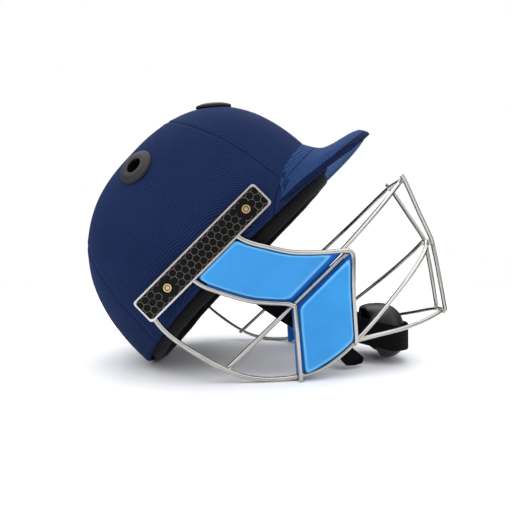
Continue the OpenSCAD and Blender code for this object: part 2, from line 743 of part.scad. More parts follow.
// A riveted post inside each ear that the strap's end turns on
module strap_anchor() {
    outer = side_y(anchor_x, shell_in) - layer_gap * 2;
    inner = anchor_y - strap_t - soft_gap * 8;
    washer = anchor_y + layer_gap;
    head = anchor_head_d;
    translate([anchor_x, 0, -anchor_drop]) rotate([-90, 0, 0]) {
        translate([0, 0, inner]) cylinder(h = outer - inner, d = anchor_pin_d, $fn = 32);
        translate([0, 0, inner - anchor_head_t]) cylinder(h = anchor_head_t, d = head, $fn = 32);
        translate([0, 0, washer]) cylinder(h = outer - washer, d = head, $fn = 32);
    }
}
module strap_anchor_left() {
    color(steel) seated() strap_anchor();
}
module strap_anchor_right() {
    color(steel) seated() on_side(RIGHT) strap_anchor();
}

// The strap in the hung frame: X forward from the anchors, Z up. Each point is given in
// shares of the reach, of the way in from the anchors to the side of the cup's band, and of
// the drop. The last stretch is straight, because the slider runs on it.
cup_gap = soft_gap * 4;
band_side = cup_w / 2 + cup_gap + strap_t / 2;
strap_bend_shares = [
    [-0.052, 0.026, -0.1], [0.000, 0.026, 0.00], [0.060, 0.057, 0.11], [0.160, 0.158, 0.28],
    [0.280, 0.307, 0.47], [0.400, 0.501, 0.65], [0.500, 0.662, 0.77]];
strap_line_shares = [[0.560, 0.743, 0.825], [0.820, 1.026, 0.930]];
function hung_pt(s) = [s[0] * strap_reach, lerp(anchor_y - strap_t / 2, band_side, s[1]),
    -s[2] * strap_drop];
strap_line = [for (s = strap_line_shares) hung_pt(s)];
strap_path = concat(smooth([for (s = strap_bend_shares) hung_pt(s)], 2), strap_line);

// A flat band along a path, with its width as close to upright as it can be
module band(path, width, thick) {
    dirs = tangents(path);
    across = [for (v = dirs) unit([0, 0, 1] - v * v[2])];
    out = [for (i = [0:len(path) - 1]) unit(cross(across[i], dirs[i]))];
    ring_stack([for (i = [0:len(path) - 1]) [for (c = [[-1, -1], [-1, 1], [1, 1], [1, -1]])
        path[i] + across[i] * c[0] * width / 2 + out[i] * c[1] * thick / 2]]);
}
module strap() {
    difference() {
        band(strap_path, strap_w, strap_t);
        translate([0, anchor_y + overrun, 0]) rotate([90, 0, 0])
            cylinder(h = strap_t * 5, d = anchor_pin_d + 2 * fit_gap, $fn = 32);
    }
}
module strap_left() {
    color(black) hung() strap();
}
module strap_right() {
    color(black) hung() on_side(RIGHT) strap();
}

// Moves a piece drawn along X, with its width along Z, onto the strap's straight stretch
line_dir = unit(strap_line[1] - strap_line[0]);
line_slope = asin(line_dir[2]);
line_turn = atan2(line_dir[1], line_dir[0]);
module on_strap_line(share) {
    translate(lerp(strap_line[0], strap_line[1], share))
        rotate([0, 0, line_turn]) rotate([0, -line_slope, 0]) children();
}
slider_l = slider_travel * 2.4;
slider_wall = strap_t * 1.4;
slider_share = 0.7;
slider_ribs = [-0.33, 0, 0.33];
module strap_slider_body() {
    h = strap_w + 2 * slider_wall;
    t = strap_t + 2 * slider_wall;
    rib = slider_wall * 0.6;
    difference() {
        union() {
            cube([slider_l, t, h], center = true);
            for (x = slider_ribs) translate([x * slider_l, 0, 0])
                cube([slider_l * 0.12, t + 2 * rib, h * 0.8], center = true);
        }
        cube([slider_l + 2 * overrun, strap_t + 2 * soft_gap, strap_w + 2 * soft_gap],
            center = true);
    }
}
module strap_slider() {
    color(black) hung() on_side(RIGHT) on_strap_line(slider_share) strap_slider_body();
}
// The strap's loose end hangs from the slider and leans outwards
tail_angle = 38;
module strap_tail() {
    foot = strap_w / 2 + slider_wall + layer_gap * 3;
    l = strap_w * 0.9;
    h = strap_w * 0.9;
    color(black) hung() on_side(RIGHT) on_strap_line(slider_share)
        translate([0, 0, -foot]) rotate([tail_angle, 0, 0]) translate([0, strap_t / 2, 0])
            rotate([90, 0, 0]) linear_extrude(strap_t) polygon([
                [-l * 0.25, 0], [l * 0.35, 0], [l * 0.95, -h * 0.5], [l * 0.8, -h * 0.8],
                [0, -h], [-l * 0.3, -h * 0.6]]);
}

// A band of webbing round the front of the cup joins the two straps
cup_centre = [strap_reach, 0, -strap_drop];
cup_front = cup_d * 0.65;
cup_power = 2.6;
band_front = cup_front + cup_gap + strap_t / 2;
band_fall = cup_h * 0.05;
module cup_band() {
    end = strap_line[1] + line_dir * layer_gap * 3;
    steps = 8;
    wrap = [for (i = [0:steps]) let (a = 80 - 80 * i / steps)
        cup_centre + [band_front * spow(cos(a), 2 / cup_power),
            band_side * spow(sin(a), 2 / cup_power), -band_fall]];
    half = concat([end], [for (i = [0:steps - 1]) wrap[i]]);
    color(black) hung() band(
        concat(half, [wrap[steps]], reversed([for (p = half) flip_y(p)])), strap_w, strap_t);
}
// The cup opens backwards, towards the chin, and turns on a boss at each side
cup_tip_angle = -5;
cup_wrap_angle = 25;
cup_boss_d = cup_t * 1.7;
module cup_bosses() {
    from = cup_w / 2 - cup_t / 2;
    for (side = [RIGHT, LEFT]) translate([0, side * from, 0]) rotate([-90 * side, 0, 0])
        cylinder(h = cup_t / 2 + soft_gap / 2, d = cup_boss_d, $fn = 32);
}
module chin_cup() {
    n = 28;
    m = 9;
    function ring(i, t) = let (
            el = lerp(-cup_wrap_angle, 90, i / m),
            r = spow(cos(el), 2 / cup_power))
        [for (j = [0:n - 1]) let (az = -360 * j / n)
            [(cup_front - t) * spow(sin(el), 2 / cup_power),
             (cup_w / 2 - t) * r * spow(sin(az), 2 / cup_power),
             (cup_h / 2 - t) * r * spow(cos(az), 2 / cup_power)]];
    function rings(t) = [for (i = [0:m - 1]) ring(i, t)];
    color(black) hung() translate(cup_centre) rotate([0, cup_tip_angle, 0]) {
        bowl(rings(0), rings(cup_t), [cup_front, 0, 0], [cup_front - cup_t, 0, 0]);
        cup_bosses();
    }
}

outer_shell();
cover_front();
cover_crown();
cover_rear();
peak_board();
peak_cover_top();
peak_cover_under();
foam_liner();
brow_pad();
nape_pad();
crown_pad();
temple_pad_right();
temple_pad_left();
ear_pad_right();
ear_pad_left();
vent_front_right();
vent_front_left();
vent_side_right();
vent_side_left();
side_plate_right();
side_plate_left();
plate_insert_right();
plate_insert_left();
plate_ferrules_right();
plate_ferrules_left();
plate_screws_right();
plate_screws_left();
plate_nuts_right();
plate_nuts_left();
main_bar();
chin_bar();
top_bar();
side_rail_right();
side_rail_left();
front_strut_right();
front_strut_left();
rear_strut_right();
rear_strut_left();
centre_strut_right();
centre_strut_left();
cheek_guard_pad_right();
cheek_guard_pad_left();
jaw_guard_pad_right();
jaw_guard_pad_left();
strap_anchor_right();
strap_anchor_left();
strap_right();
strap_left();
strap_slider();
strap_tail();
cup_band();
chin_cup();
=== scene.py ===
import bmesh
import bpy
import numpy as np
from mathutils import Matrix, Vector, noise
from math import asin, atan2, copysign, cos, degrees, exp, hypot, pi, radians, sin, tau


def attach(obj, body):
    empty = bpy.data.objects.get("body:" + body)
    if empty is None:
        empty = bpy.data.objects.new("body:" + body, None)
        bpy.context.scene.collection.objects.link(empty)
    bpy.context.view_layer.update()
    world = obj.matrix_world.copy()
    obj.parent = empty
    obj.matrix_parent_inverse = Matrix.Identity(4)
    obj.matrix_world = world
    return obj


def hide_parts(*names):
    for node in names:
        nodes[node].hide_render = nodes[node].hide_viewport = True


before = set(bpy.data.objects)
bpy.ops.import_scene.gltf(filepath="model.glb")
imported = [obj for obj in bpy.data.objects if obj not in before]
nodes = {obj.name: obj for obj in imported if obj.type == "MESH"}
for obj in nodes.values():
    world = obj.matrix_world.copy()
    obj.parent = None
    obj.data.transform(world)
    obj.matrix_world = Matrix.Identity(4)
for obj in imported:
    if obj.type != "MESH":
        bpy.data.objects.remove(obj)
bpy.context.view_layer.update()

# The photo table: a plain white table top under one broad overhead light, with two weak
# lamps and white walls round it. The camera stands level with the side plates, 42 cm to the
# wearer's right, and looks straight across the helmet.


def add_object(name, data):
    made = bpy.data.objects.new(name, data)
    bpy.context.scene.collection.objects.link(made)
    return made


camera_data = bpy.data.cameras.new("photo_camera")
camera_data.lens = 28.83
camera_data.sensor_width = 36.0
camera = add_object("photo_camera", camera_data)
camera.location = (-0.0001, -0.4223, 0.1008)
camera.rotation_euler = (radians(90.35), 0.0, radians(1.8))
bpy.context.scene.camera = camera


def node(tree, kind, values=None, **settings):
    """A new node with its settings, and values or sockets for its inputs."""
    made = tree.nodes.new(kind if kind.startswith("NodeGroup") else "ShaderNode" + kind)
    for key, value in settings.items():
        setattr(made, key, value)
    for key, value in (values or {}).items():
        if isinstance(value, bpy.types.NodeSocket):
            tree.links.new(value, made.inputs[key])
        else:
            made.inputs[key].default_value = value
    return made


def material(name, **values):
    """A new material, its node tree and its main shader."""
    made = bpy.data.materials.new(name)
    made.use_nodes = True
    shader = made.node_tree.nodes["Principled BSDF"]
    for key, value in values.items():
        shader.inputs[key.replace("_", " ")].default_value = value
    return made, made.node_tree, shader


def object_place(tree):
    return node(tree, "TexCoord").outputs["Object"]


def speckle(place, scale, detail=2.0):
    """Cloudy noise over a place."""
    values = {"Vector": place, "Scale": scale, "Detail": detail}
    return node(place.id_data, "TexNoise", values).outputs["Fac"]


def mixed(share, *ends):
    """A share of the way from one colour, or colour socket, to another."""
    one, other = (c if isinstance(c, bpy.types.NodeSocket) else (*c, 1) for c in ends)
    values = {"Factor": share, 6: one, 7: other}
    return node(share.id_data, "Mix", values, data_type="RGBA").outputs[2]


def dress(shader, colour, relief=None, gloss=None):
    """Gives a shader its colour, a (height, strength, distance) relief and a roughness."""
    tree = shader.id_data
    tree.links.new(colour, shader.inputs["Base Color"])
    if relief is not None:
        bump = node(tree, "Bump", dict(zip(("Height", "Strength", "Distance"), relief)))
        tree.links.new(bump.outputs[0], shader.inputs["Normal"])
    if gloss is not None:
        tree.links.new(gloss, shader.inputs["Roughness"])


TABLE_RADIUS = 1.3
bm = bmesh.new()
bmesh.ops.create_circle(bm, cap_ends=True, segments=96, radius=TABLE_RADIUS)
table_mesh = bpy.data.meshes.new("table_top")
bm.to_mesh(table_mesh)
bm.free()
table = add_object("table_top", table_mesh)
table_paint, tree, shader = material("table_paint", Roughness=0.55)
cloudy = speckle(object_place(tree), 5.0)
dress(shader, mixed(cloudy, (0.9, 0.9, 0.905), (0.94, 0.94, 0.94)))
table_mesh.materials.append(table_paint)


def axes(place):
    """The X, Y and Z sockets of a place."""
    return node(place.id_data, "SeparateXYZ", {0: place}).outputs


def ranged(value, low, high, to_low=0.0, to_high=1.0, **settings):
    """A value moved from one range to another, and held at its ends."""
    ends = {"From Min": low, "From Max": high, "To Min": to_low, "To Max": to_high}
    return node(value.id_data, "MapRange", {"Value": value, **ends}, **settings).outputs[0]


bpy.context.scene.view_settings.view_transform = "Standard"
studio = bpy.data.worlds.new("studio")
studio.use_nodes = True
tree = studio.node_tree
way = axes(node(tree, "TexCoord").outputs["Generated"])
in_front = ranged(way["Y"], -0.4, -0.95)
walls = mixed(in_front, (0.07, 0.075, 0.08), (0.8, 0.73, 0.65))
room = mixed(ranged(way["Z"], 0.2, 0.8), walls, (1.1, 1.13, 1.2))
seen = node(tree, "LightPath").outputs["Is Camera Ray"]
tree.links.new(mixed(seen, room, (1.0, 1.0, 1.0)), tree.nodes["Background"].inputs["Color"])
bpy.context.scene.world = studio

for title, place, aim, size, power in (
        ("overhead_box", (-0.1, 0.1, 1.3), (0, 0, 0.1), (2.4, 2.2), 24),
        ("side_box", (-0.9, -0.9, 0.9), (0, 0, 0.12), (1.3, 1.3), 6),
        ("front_box", (1.1, -0.6, 0.6), (0, 0, 0.1), (0.8, 1.0), 3)):
    data = bpy.data.lights.new(title, "AREA")
    data.shape = "RECTANGLE"
    data.size, data.size_y = size
    data.energy = power
    lamp = add_object(title, data)
    lamp.location = place
    lamp.rotation_euler = (Vector(aim) - Vector(place)).to_track_quat("-Z", "Y").to_euler()

# The fabric cover: navy ribbed stretch cloth over the whole shell, cut as a front, a crown
# and a rear panel, sewn from ear to ear, pulled tight and turned in under the rim.

MM = 1000.0
SEAT = Vector((-51.599, 0.0, 104.895))
TIP = radians(45)
HALF_LENGTH, HALF_WIDTH, CROWN, GIRTH, FORWARD = 128.5, 101.5, 138.0, 10.0, 8.0
RIM_FRONT, RIM_SIDE, RIM_REAR = 17.0, 16.0, 28.0
POWER_BACK, POWER_FRONT, PLAN_POWER = 2.2, 2.7, 0.8


def seat(point):
    """A point of the worn helmet in millimetres, where the helmet stands, in metres."""
    x, y, z = point
    c, s = cos(TIP), sin(TIP)
    return Vector((SEAT.x + x * c - z * s, y, SEAT.z + x * s + z * c)) / MM


def lerp(a, b, share):
    return a + (b - a) * share


def spow(value, power):
    return copysign(abs(value) ** power, value)


def held(value, low, high):
    return max(low, min(high, value))


def dome_power(az):
    return lerp(POWER_BACK, POWER_FRONT, (1 + cos(radians(az))) / 2)


def bulge(az, el, halves, plan_power, power):
    """A point of a round-edged body at an azimuth and elevation in degrees."""
    a, e = radians(az), radians(el)
    r = max(cos(e), 0.0) ** power
    return (halves[0] * spow(cos(a), plan_power) * r,
            halves[1] * spow(sin(a), plan_power) * r, halves[2] * spow(sin(e), power))


def dome(az, el, depth):
    """A point of the dome, depth below the cover."""
    halves = HALF_LENGTH - depth, HALF_WIDTH - depth, CROWN - depth
    x, y, z = bulge(az, el, halves, PLAN_POWER, 2.0 / dome_power(az))
    return Vector((FORWARD + x, y, z - GIRTH))


def climb(az, height, depth):
    """Elevation of the dome's point that lies at a height."""
    s = spow((height + GIRTH) / (CROWN - depth), dome_power(az) / 2)
    return degrees(asin(held(s, -1.0, 1.0)))


def dome_at(az, height, depth):
    return dome(az, climb(az, height, depth), depth)


def rim_height(az):
    c = cos(radians(az))
    return -RIM_SIDE + (RIM_SIDE - (RIM_FRONT if c > 0 else RIM_REAR)) * c * c


def even_angles(path, start, stop, count, fine=360):
    """Angles from start to stop whose points on the path lie evenly spaced."""
    angles = np.linspace(start, stop, fine + 1)
    points = [path(a) for a in angles]
    run = np.cumsum([0.0] + [(q - p).length for p, q in zip(points, points[1:])])
    return np.interp(np.linspace(0.0, run[-1], count + 1), run, angles)


def add_grid(bm, columns, rows):
    """Adds a flat grid, and gives back the (column, row) of each of its vertices."""
    made = bmesh.ops.create_grid(bm, x_segments=columns, y_segments=rows, size=0.5)["verts"]
    return {v: (round((v.co.x + 0.5) * columns), round((v.co.y + 0.5) * rows)) for v in made}


def grid(columns, rows, point, uv=None):
    """A bmesh grid, each corner (i, j) of it moved to point(i, j), doubles merged."""
    bm = bmesh.new()
    layer = bm.loops.layers.uv.new("cloth")
    spots = add_grid(bm, columns, rows)
    if uv:
        for f in bm.faces:
            for loop in f.loops:
                loop[layer].uv = uv(*spots[loop.vert])
    for v, (i, j) in spots.items():
        v.co = point(i, j)
    bmesh.ops.remove_doubles(bm, verts=bm.verts, dist=1e-3)
    return bm


def as_mesh(name, bm, stand, recalculated=True):
    """A smooth mesh from a finished bmesh, stood up, its normals made to face outwards unless
    they do so already."""
    if recalculated:
        bmesh.ops.recalc_face_normals(bm, faces=bm.faces)
    for f in bm.faces:
        f.smooth = True
    for v in bm.verts:
        v.co = stand(v.co)
    mesh = bpy.data.meshes.new(name)
    bm.to_mesh(mesh)
    bm.free()
    return mesh


def place_piece(piece, body, replaced):
    """Lets a piece ride on a body, and hides the CAD nodes that it stands for."""
    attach(piece, body)
    if replaced:
        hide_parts(*replaced)
    return piece


def finish_piece(name, bm, body, slot, paints, replaced=(), sharp=None, stand=seat,
                 **settings):
    """Makes a painted piece that rides on a body from a finished bmesh."""
    mesh = as_mesh(name, bm, stand, **settings)
    if sharp:
        mesh.set_sharp_from_angle(angle=radians(sharp))
    for paint in paints:
        mesh.materials.append(paint)
    return place_piece(add_object(name, mesh), body, replaced)


FRONT_SEAM = [(86.3, -3.0), (86.1, 0), (82.0, 30.4), (75.8, 60.7), (67.3, 85.6), (59.6, 106.3),
              (54.5, 124.2), (51.4, 165.6)]
REAR_SEAM = [(-83.5, -48.3), (-82.0, 0), (-81.0, 30.4), (-78.9, 60.7), (-77.4, 85.6),
             (-76.3, 124.2), (-75.6, 165.6)]
PEAK_SEAM = [(56.0, -24.0), (60.3, -18.0), (66.6, -12.0), (74.4, -7.0), (81.8, -4.0),
             (88.7, -2.5), (98.0, -1.5)]
COVER_SEAMS = {"front_seam": FRONT_SEAM, "rear_seam": REAR_SEAM, "peak_seam": PEAK_SEAM}


def seam_gap(x, z, seam):
    """How far ahead of a seam a point lies, seen from the side."""
    best, sign = 1e9, 1.0
    for (ax, az), (bx, bz) in zip(seam, seam[1:]):
        dx, dz = bx - ax, bz - az
        t = held(((x - ax) * dx + (z - az) * dz) / (dx * dx + dz * dz), 0.0, 1.0)
        ox, oz = x - ax - dx * t, z - az - dz * t
        if hypot(ox, oz) < best:
            best = hypot(ox, oz)
            sign = 1.0 if ox * dz - oz * dx > 0 else -1.0
    return best * sign


VENTS = {"front_right": (-20, 48), "front_left": (20, 48),
         "side_right": (-90, 47), "side_left": (90, 47)}
SHELL_REACH = 40.0


def vent_axis(az, el):
    """Where a vent's axis leaves the cover, and its direction outwards."""
    across = dome(az + 1, el, 0) - dome(az - 1, el, 0)
    up = dome(az, el + 1, 0) - dome(az, el - 1, 0)
    return dome(az, el, 0), across.cross(up).normalized()


def cut_vents(bm, radius):
    """Opens a round hole at each vent, and gives back the edges round each hole."""
    rims = []
    for az, el in VENTS.values():
        p, n = vent_axis(az, el)

        def off_axis(co):
            d = co - p
            return d - n * d.dot(n) if abs(d.dot(n)) < SHELL_REACH else Vector((999, 0, 0))
        near = [f for f in bm.faces if off_axis(f.calc_center_median()).length < radius]
        bmesh.ops.delete(bm, geom=near, context="FACES")
        hole = [v for v in bm.verts if v.is_boundary and off_axis(v.co).length < radius * 1.5]
        for v in hole:
            d = off_axis(v.co)
            v.co += d.normalized() * radius - d
        rims.append([e for e in bm.edges if e.is_boundary and all(v in hole for v in e.verts)])
    return rims


COVER_COLUMNS, COVER_ROWS = 300, 100
HEM = [(5.2, 8.0), (5.2, 3.5), (5.0, 0.2), (4.2, -1.4), (2.9, -2.0), (1.5, -1.8), (0.5, -0.9)]
SWELL, SWELL_OFF, SWELL_WIDTH, SINK, SINK_WIDTH = 0.3, 3.0, 2.0, 0.5, 1.1
COVER_CUT, WRINKLE, CLOTH_RADIUS_CM = 12.0, 0.25, 11.8
cover_az = even_angles(lambda a: dome(a, 0, 0), 0, 360, COVER_COLUMNS)
cover_el = [even_angles(lambda e: dome(az, e, 0), climb(az, rim_height(az), 0), 90, COVER_ROWS)
            for az in cover_az[:-1]]


def cover_point(i, j):
    i %= COVER_COLUMNS
    az = cover_az[i]
    if j < len(HEM):
        depth, lift = HEM[j]
        return dome_at(az, rim_height(az) + lift, depth)
    p = dome(az, cover_el[i][j - len(HEM)], 0)
    rise = noise.noise(p * 0.035) * WRINKLE
    for seam in COVER_SEAMS.values():
        gap = abs(seam_gap(p.x, p.z, seam))
        rise += (SWELL * exp(-((gap - SWELL_OFF) / SWELL_WIDTH) ** 2)
                 - SINK * exp(-(gap / SINK_WIDTH) ** 2))
    out = Vector(((p.x - FORWARD) / HALF_LENGTH, p.y / HALF_WIDTH, (p.z + GIRTH) / CROWN))
    return p + out.normalized() * rise


def cover_uv(i, j):
    """Cloth coordinate in centimetres that spreads evenly from the crown."""
    i, j = i % COVER_COLUMNS, j - len(HEM)
    el = cover_el[i][max(j, 0)] + min(j, 0)
    fall, turn = radians(90 - el) * CLOTH_RADIUS_CM, radians(cover_az[i])
    return fall * cos(turn), fall * sin(turn)


bm = grid(COVER_COLUMNS, COVER_ROWS + len(HEM), cover_point, cover_uv)
cut_vents(bm, COVER_CUT)
for title, seam in COVER_SEAMS.items():
    layer = bm.verts.layers.float.new(title)
    for v in bm.verts:
        v[layer] = seam_gap(v.co.x, v.co.z, seam)


def calc(operation, *values):
    """The result of a maths node, in the tree that its values come from."""
    tree = next(v.id_data for v in values if isinstance(v, bpy.types.NodeSocket))
    return node(tree, "Math", dict(enumerate(values)), operation=operation).outputs[0]


def times_plus(value, factor, added):
    return calc("MULTIPLY_ADD", value, factor, added)


def wave(value, pitch):
    """A sine wave that repeats at a pitch along a value."""
    return calc("SINE", calc("MULTIPLY", value, tau / pitch))


def node_group(name, inputs, outputs):
    """A new node group, and the sockets that its inputs come in by."""
    made = bpy.data.node_groups.new(name, "ShaderNodeTree")
    for title, value in inputs.items():
        kind = "NodeSocketFloat" if isinstance(value, float) else "NodeSocketVector"
        made.interface.new_socket(title, in_out="INPUT", socket_type=kind).default_value = value
    for title in outputs:
        made.interface.new_socket(title, in_out="OUTPUT", socket_type="NodeSocketFloat")
    return made, node(made, "NodeGroupInput").outputs


# Ribbed weave from a cloth coordinate in centimetres: diagonal ribs, cross threads and fluff.
weave, given = node_group(
    "rib_weave", {"Cloth": (0, 0, 0), "Ribs": 8.0, "Fluff": 1.3}, ("Height", "Shade"))
spread = node(weave, "VectorMath", {0: given["Cloth"], 3: given["Ribs"]}, operation="SCALE")
sides = axes(spread.outputs[0])
drift = speckle(given["Cloth"], 0.16)
slope = times_plus(drift, 9.0, times_plus(sides["X"], 0.15, sides["Y"]))
cross = times_plus(sides["Y"], -0.15, sides["X"])
woven = times_plus(wave(cross, 0.5), 0.45, wave(slope, 1.0))
hair = calc("MULTIPLY", speckle(given["Cloth"], 10.0, 6.0), given["Fluff"])
high = times_plus(woven, 0.26, hair)
node(weave, "NodeGroupOutput", {"Height": high, "Shade": ranged(high, 0.3, 1.0)})

# A sewn seam from a distance in millimetres: a crease, and a run of stitches beside it.
sewing, given = node_group(
    "sewn_seam", {"Distance": 0.0, "Along": 0.0, "Crease": 0.8, "Stitch": 2.4},
    ("Crease", "Stitch"))
near = calc("ABSOLUTE", given["Distance"])
beside = calc("SUBTRACT", given["Distance"], given["Stitch"])
line = ranged(calc("ABSOLUTE", beside), 0.5, 0.2)
dash = ranged(wave(given["Along"], 0.3), -0.6, -0.1)
node(sewing, "NodeGroupOutput",
     {"Crease": ranged(near, given["Crease"], 0.0), "Stitch": calc("MULTIPLY", line, dash)})


def ribbed_cloth(name, dark, light, seams=(), ribs=5.8, relief=0.5, woven_tone=0.9):
    """Ribbed cloth with a soft sheen, unevenly faded, stitched at its seams, and creased there
    with painted shade.
    """
    paint, tree, shader = material(
        name, Roughness=0.8, Sheen_Weight=0.04, Sheen_Roughness=0.4, Sheen_Tint=(0.2, 0.4, 1.0, 1),
        Specular_IOR_Level=0.04)
    cloth = node(tree, "UVMap", uv_map="cloth").outputs[0]
    woven = node(tree, "Group", {"Ribs": ribs, "Cloth": cloth}, node_tree=weave).outputs
    faded = speckle(object_place(tree), 24.0, 5.0)
    tone = times_plus(faded, 0.4, calc("MULTIPLY", woven["Shade"], woven_tone))
    colour, height = mixed(tone, dark, light), woven["Height"]
    along = axes(cloth)["Y"]
    for attribute in seams:
        gap = node(tree, "Attribute", attribute_name=attribute).outputs["Fac"]
        sewn = node(tree, "Group", {"Distance": gap, "Along": along}, node_tree=sewing).outputs
        # The crease colour is painted shade along each seam; the stitch colour is the thread's
        # own.
        for title, share, crease_shade_and_thread in (("Crease", 0.6, (0.002, 0.003, 0.01)),
                                     ("Stitch", 0.08, (0.06, 0.09, 0.25))):
            colour = mixed(calc("MULTIPLY", sewn[title], share), colour, crease_shade_and_thread)
        height = times_plus(sewn["Crease"], -3.0, height)
    dress(shader, colour, (height, relief, 0.0003))
    return paint


cover_cloth = ribbed_cloth(
    "cover_cloth", (0.001, 0.0032, 0.0145), (0.0122, 0.0252, 0.085), list(COVER_SEAMS))
finish_piece("fabric_cover", bm, "helmet", "navy_fabric", [cover_cloth],
             ["cover_front", "cover_crown", "cover_rear"])

# The moulded shell: fibre-filled black plastic under the cover. Only slivers of it show,
# between the cover's hem and the liner, so the moulding itself keeps its shape.

grain, given = node_group(
    "moulded_grain", {"Place": (0, 0, 0), "Size": 700.0}, ("Grain", "Handled"))
pits = node(grain, "TexVoronoi", {"Vector": given["Place"], "Scale": given["Size"]})
node(grain, "NodeGroupOutput",
     {"Grain": pits.outputs["Distance"], "Handled": speckle(given["Place"], 35.0, 6.0)})


def moulded(name, dark, light, rough, size=700.0, depth=0.0001, strength=0.35, **values):
    """A moulding with a fine grain, uneven gloss and handling marks."""
    paint, tree, shader = material(name, **values)
    fine = node(tree, "Group", {"Size": size, "Place": object_place(tree)}, node_tree=grain)
    marks = fine.outputs["Handled"]
    dress(shader, mixed(marks, dark, light),
          (fine.outputs["Grain"], strength, depth), ranged(marks, 0.3, 0.7, *rough))
    return paint


def paint_nodes(paint, *names):
    """Gives the CAD's own pieces a finish."""
    for name in names:
        slots = nodes[name].data.materials
        slots.clear()
        slots.append(paint)


shell_moulding = moulded(
    "shell_moulding", (0.012, 0.012, 0.013), (0.022, 0.022, 0.024), (0.5, 0.7))
paint_nodes(shell_moulding, "outer_shell")

# The peak: a stiff board in a padded navy sleeve. Its top runs up onto the dome in a soft
# hollow, its edge is a stitched roll, and its underside is a paler satin cloth.

PEAK_REACH, PEAK_DROP, PEAK_HALF, HALF_THICK, ROLL = 55.0, 20.0, 94.6, 3.3, 3.2
PEAK_SPREAD = 60.0
PEAK_ROWS = [0, 0.18, 0.38, 0.58, 0.76, 0.9, 1]
PEAK_CROWNS = [0, -0.045, -0.03, 0.02, 0.06, 0.07, 0]
PEAK_END_X = dome_at(PEAK_SPREAD, PEAK_REACH * -0.12, -0.3).x + PEAK_REACH * 0.08
END_AZ, END_HEIGHT, END_SHARE = 65.0, -14.0, 0.72
PINCH, PINCH_OFF, PINCH_WIDTH = 0.4, 8.5, 1.6
HOLLOW, HOLLOW_FALL, HOLLOW_SHARE = 8.0, 5.0, 0.26
REGION_CM = 10.0


def curve(a, b, c, d, t):
    """A smooth curve from b to c that comes from a and goes on to d."""
    return (b * 2 + (c - a) * t + (a * 2 - b * 5 + c * 4 - d) * t * t
            + (b * 3 - a - c * 3 + d) * t ** 3) / 2


def peak_crown(r):
    """The crown of the peak at a share of its reach."""
    last, k = len(PEAK_ROWS) - 1, 0
    while k < last - 1 and r > PEAK_ROWS[k + 1]:
        k += 1
    t = (r - PEAK_ROWS[k]) / (PEAK_ROWS[k + 1] - PEAK_ROWS[k])
    return curve(*(PEAK_CROWNS[held(k + n, 0, last)] for n in (-1, 0, 1, 2)), t)


def peak_point(s, r, lift, on_dome):
    """The peak's point at shares of its half width and reach, lifted off its middle."""
    rise = PEAK_REACH * (0.07 - 0.19 * abs(s) ** 1.6)
    root = dome_at(-s * PEAK_SPREAD, rise + lift + on_dome, -0.2)
    out = max(1 - abs(s) ** 2.1, 0.0) ** 0.68
    tip_x = FORWARD + HALF_LENGTH + PEAK_REACH
    droop = PEAK_DROP * (1 + 0.12 * sin(pi * abs(s)))
    edge = Vector((lerp(PEAK_END_X, tip_x, out), -s * PEAK_HALF, lift - droop))
    drawn = max(0.0, (abs(s) - END_SHARE) / (1 - END_SHARE)) ** 2
    end = dome_at(-copysign(END_AZ, s), END_HEIGHT, -0.4)
    edge = edge.lerp(end, drawn * (3 - 2 * drawn) if drawn < 1 else 1)
    p = root.lerp(edge, r)
    p.z += PEAK_REACH * peak_crown(r) * (1 - s * s)
    return p


def peak_length(s):
    return (peak_point(s, 1, 0, 0) - peak_point(s, 0, 0, 0)).length


PEAK_COLUMNS, TOP_ROWS, ROUND_ROWS = 110, 42, 10


def sleeve_place(i, j):
    """Where a corner of the sleeve's grid lies: s, share of the reach, lift and rise."""
    s = sin(pi * (i / PEAK_COLUMNS - 0.5))
    thick = HALF_THICK * max(1 - abs(s) ** 7, 0.0) ** 0.6
    reach = 1 - ROLL / peak_length(s)
    if TOP_ROWS < j < TOP_ROWS + ROUND_ROWS:
        a = pi * (j - TOP_ROWS) / ROUND_ROWS
        return s, reach + (1 - reach) * sin(a), thick * cos(a), 0
    top = j <= TOP_ROWS
    r = reach * (j if top else TOP_ROWS * 2 + ROUND_ROWS - j) / TOP_ROWS
    from_edge = (1 - r) * peak_length(s)
    pinch = PINCH * (1 - abs(s) ** 20) * exp(-((from_edge - PINCH_OFF) / PINCH_WIDTH) ** 2)
    hollow = (HOLLOW - HOLLOW_FALL * abs(s) ** 8) * max(0.0, 1 - r / HOLLOW_SHARE) ** 2.2
    return s, r, (thick - pinch) * (1 if top else -1), hollow if top else 0


def sleeve_uv(i, j):
    """Cloth coordinate in centimetres, ten further on round the edge, twenty below it."""
    s, r, _, _ = sleeve_place(i, j)
    region = (j > TOP_ROWS) + (j > TOP_ROWS + ROUND_ROWS * 0.75)
    return s * 9.5, r * PEAK_REACH / 10 + REGION_CM * region


bm = grid(PEAK_COLUMNS, TOP_ROWS * 2 + ROUND_ROWS, lambda i, j: peak_point(*sleeve_place(i, j)),
          sleeve_uv)
seam_layer, cloth_layer = bm.verts.layers.float.new("root_seam"), bm.loops.layers.uv.active
for f in bm.faces:
    f.material_index = int(min(loop[cloth_layer].uv.y for loop in f.loops) // REGION_CM)
    for loop in f.loops:
        loop[cloth_layer].uv.y %= REGION_CM
        loop.vert[seam_layer] = loop[cloth_layer].uv.y * 10 - 0.115 * PEAK_REACH
# Painted light: the top is a lighter copy of the navy, lit from above; the edge roll a shaded
# copy.
peak_top_painted_light = ribbed_cloth("peak_top_painted_light", (0.0018, 0.0056, 0.025), (0.024, 0.056, 0.165), ["root_seam"])
peak_edge = ribbed_cloth("peak_edge", (0.001, 0.0026, 0.012), (0.0066, 0.0125, 0.044))
peak_under = ribbed_cloth(
    "peak_under", (0.047, 0.095, 0.205), (0.068, 0.13, 0.28), ribs=12.0, relief=0.02,
    woven_tone=0.15)
finish_piece("peak_sleeve", bm, "helmet", "navy_fabric", [peak_top_painted_light, peak_edge, peak_under],
             ["peak_cover_top", "peak_cover_under", "peak_board"])

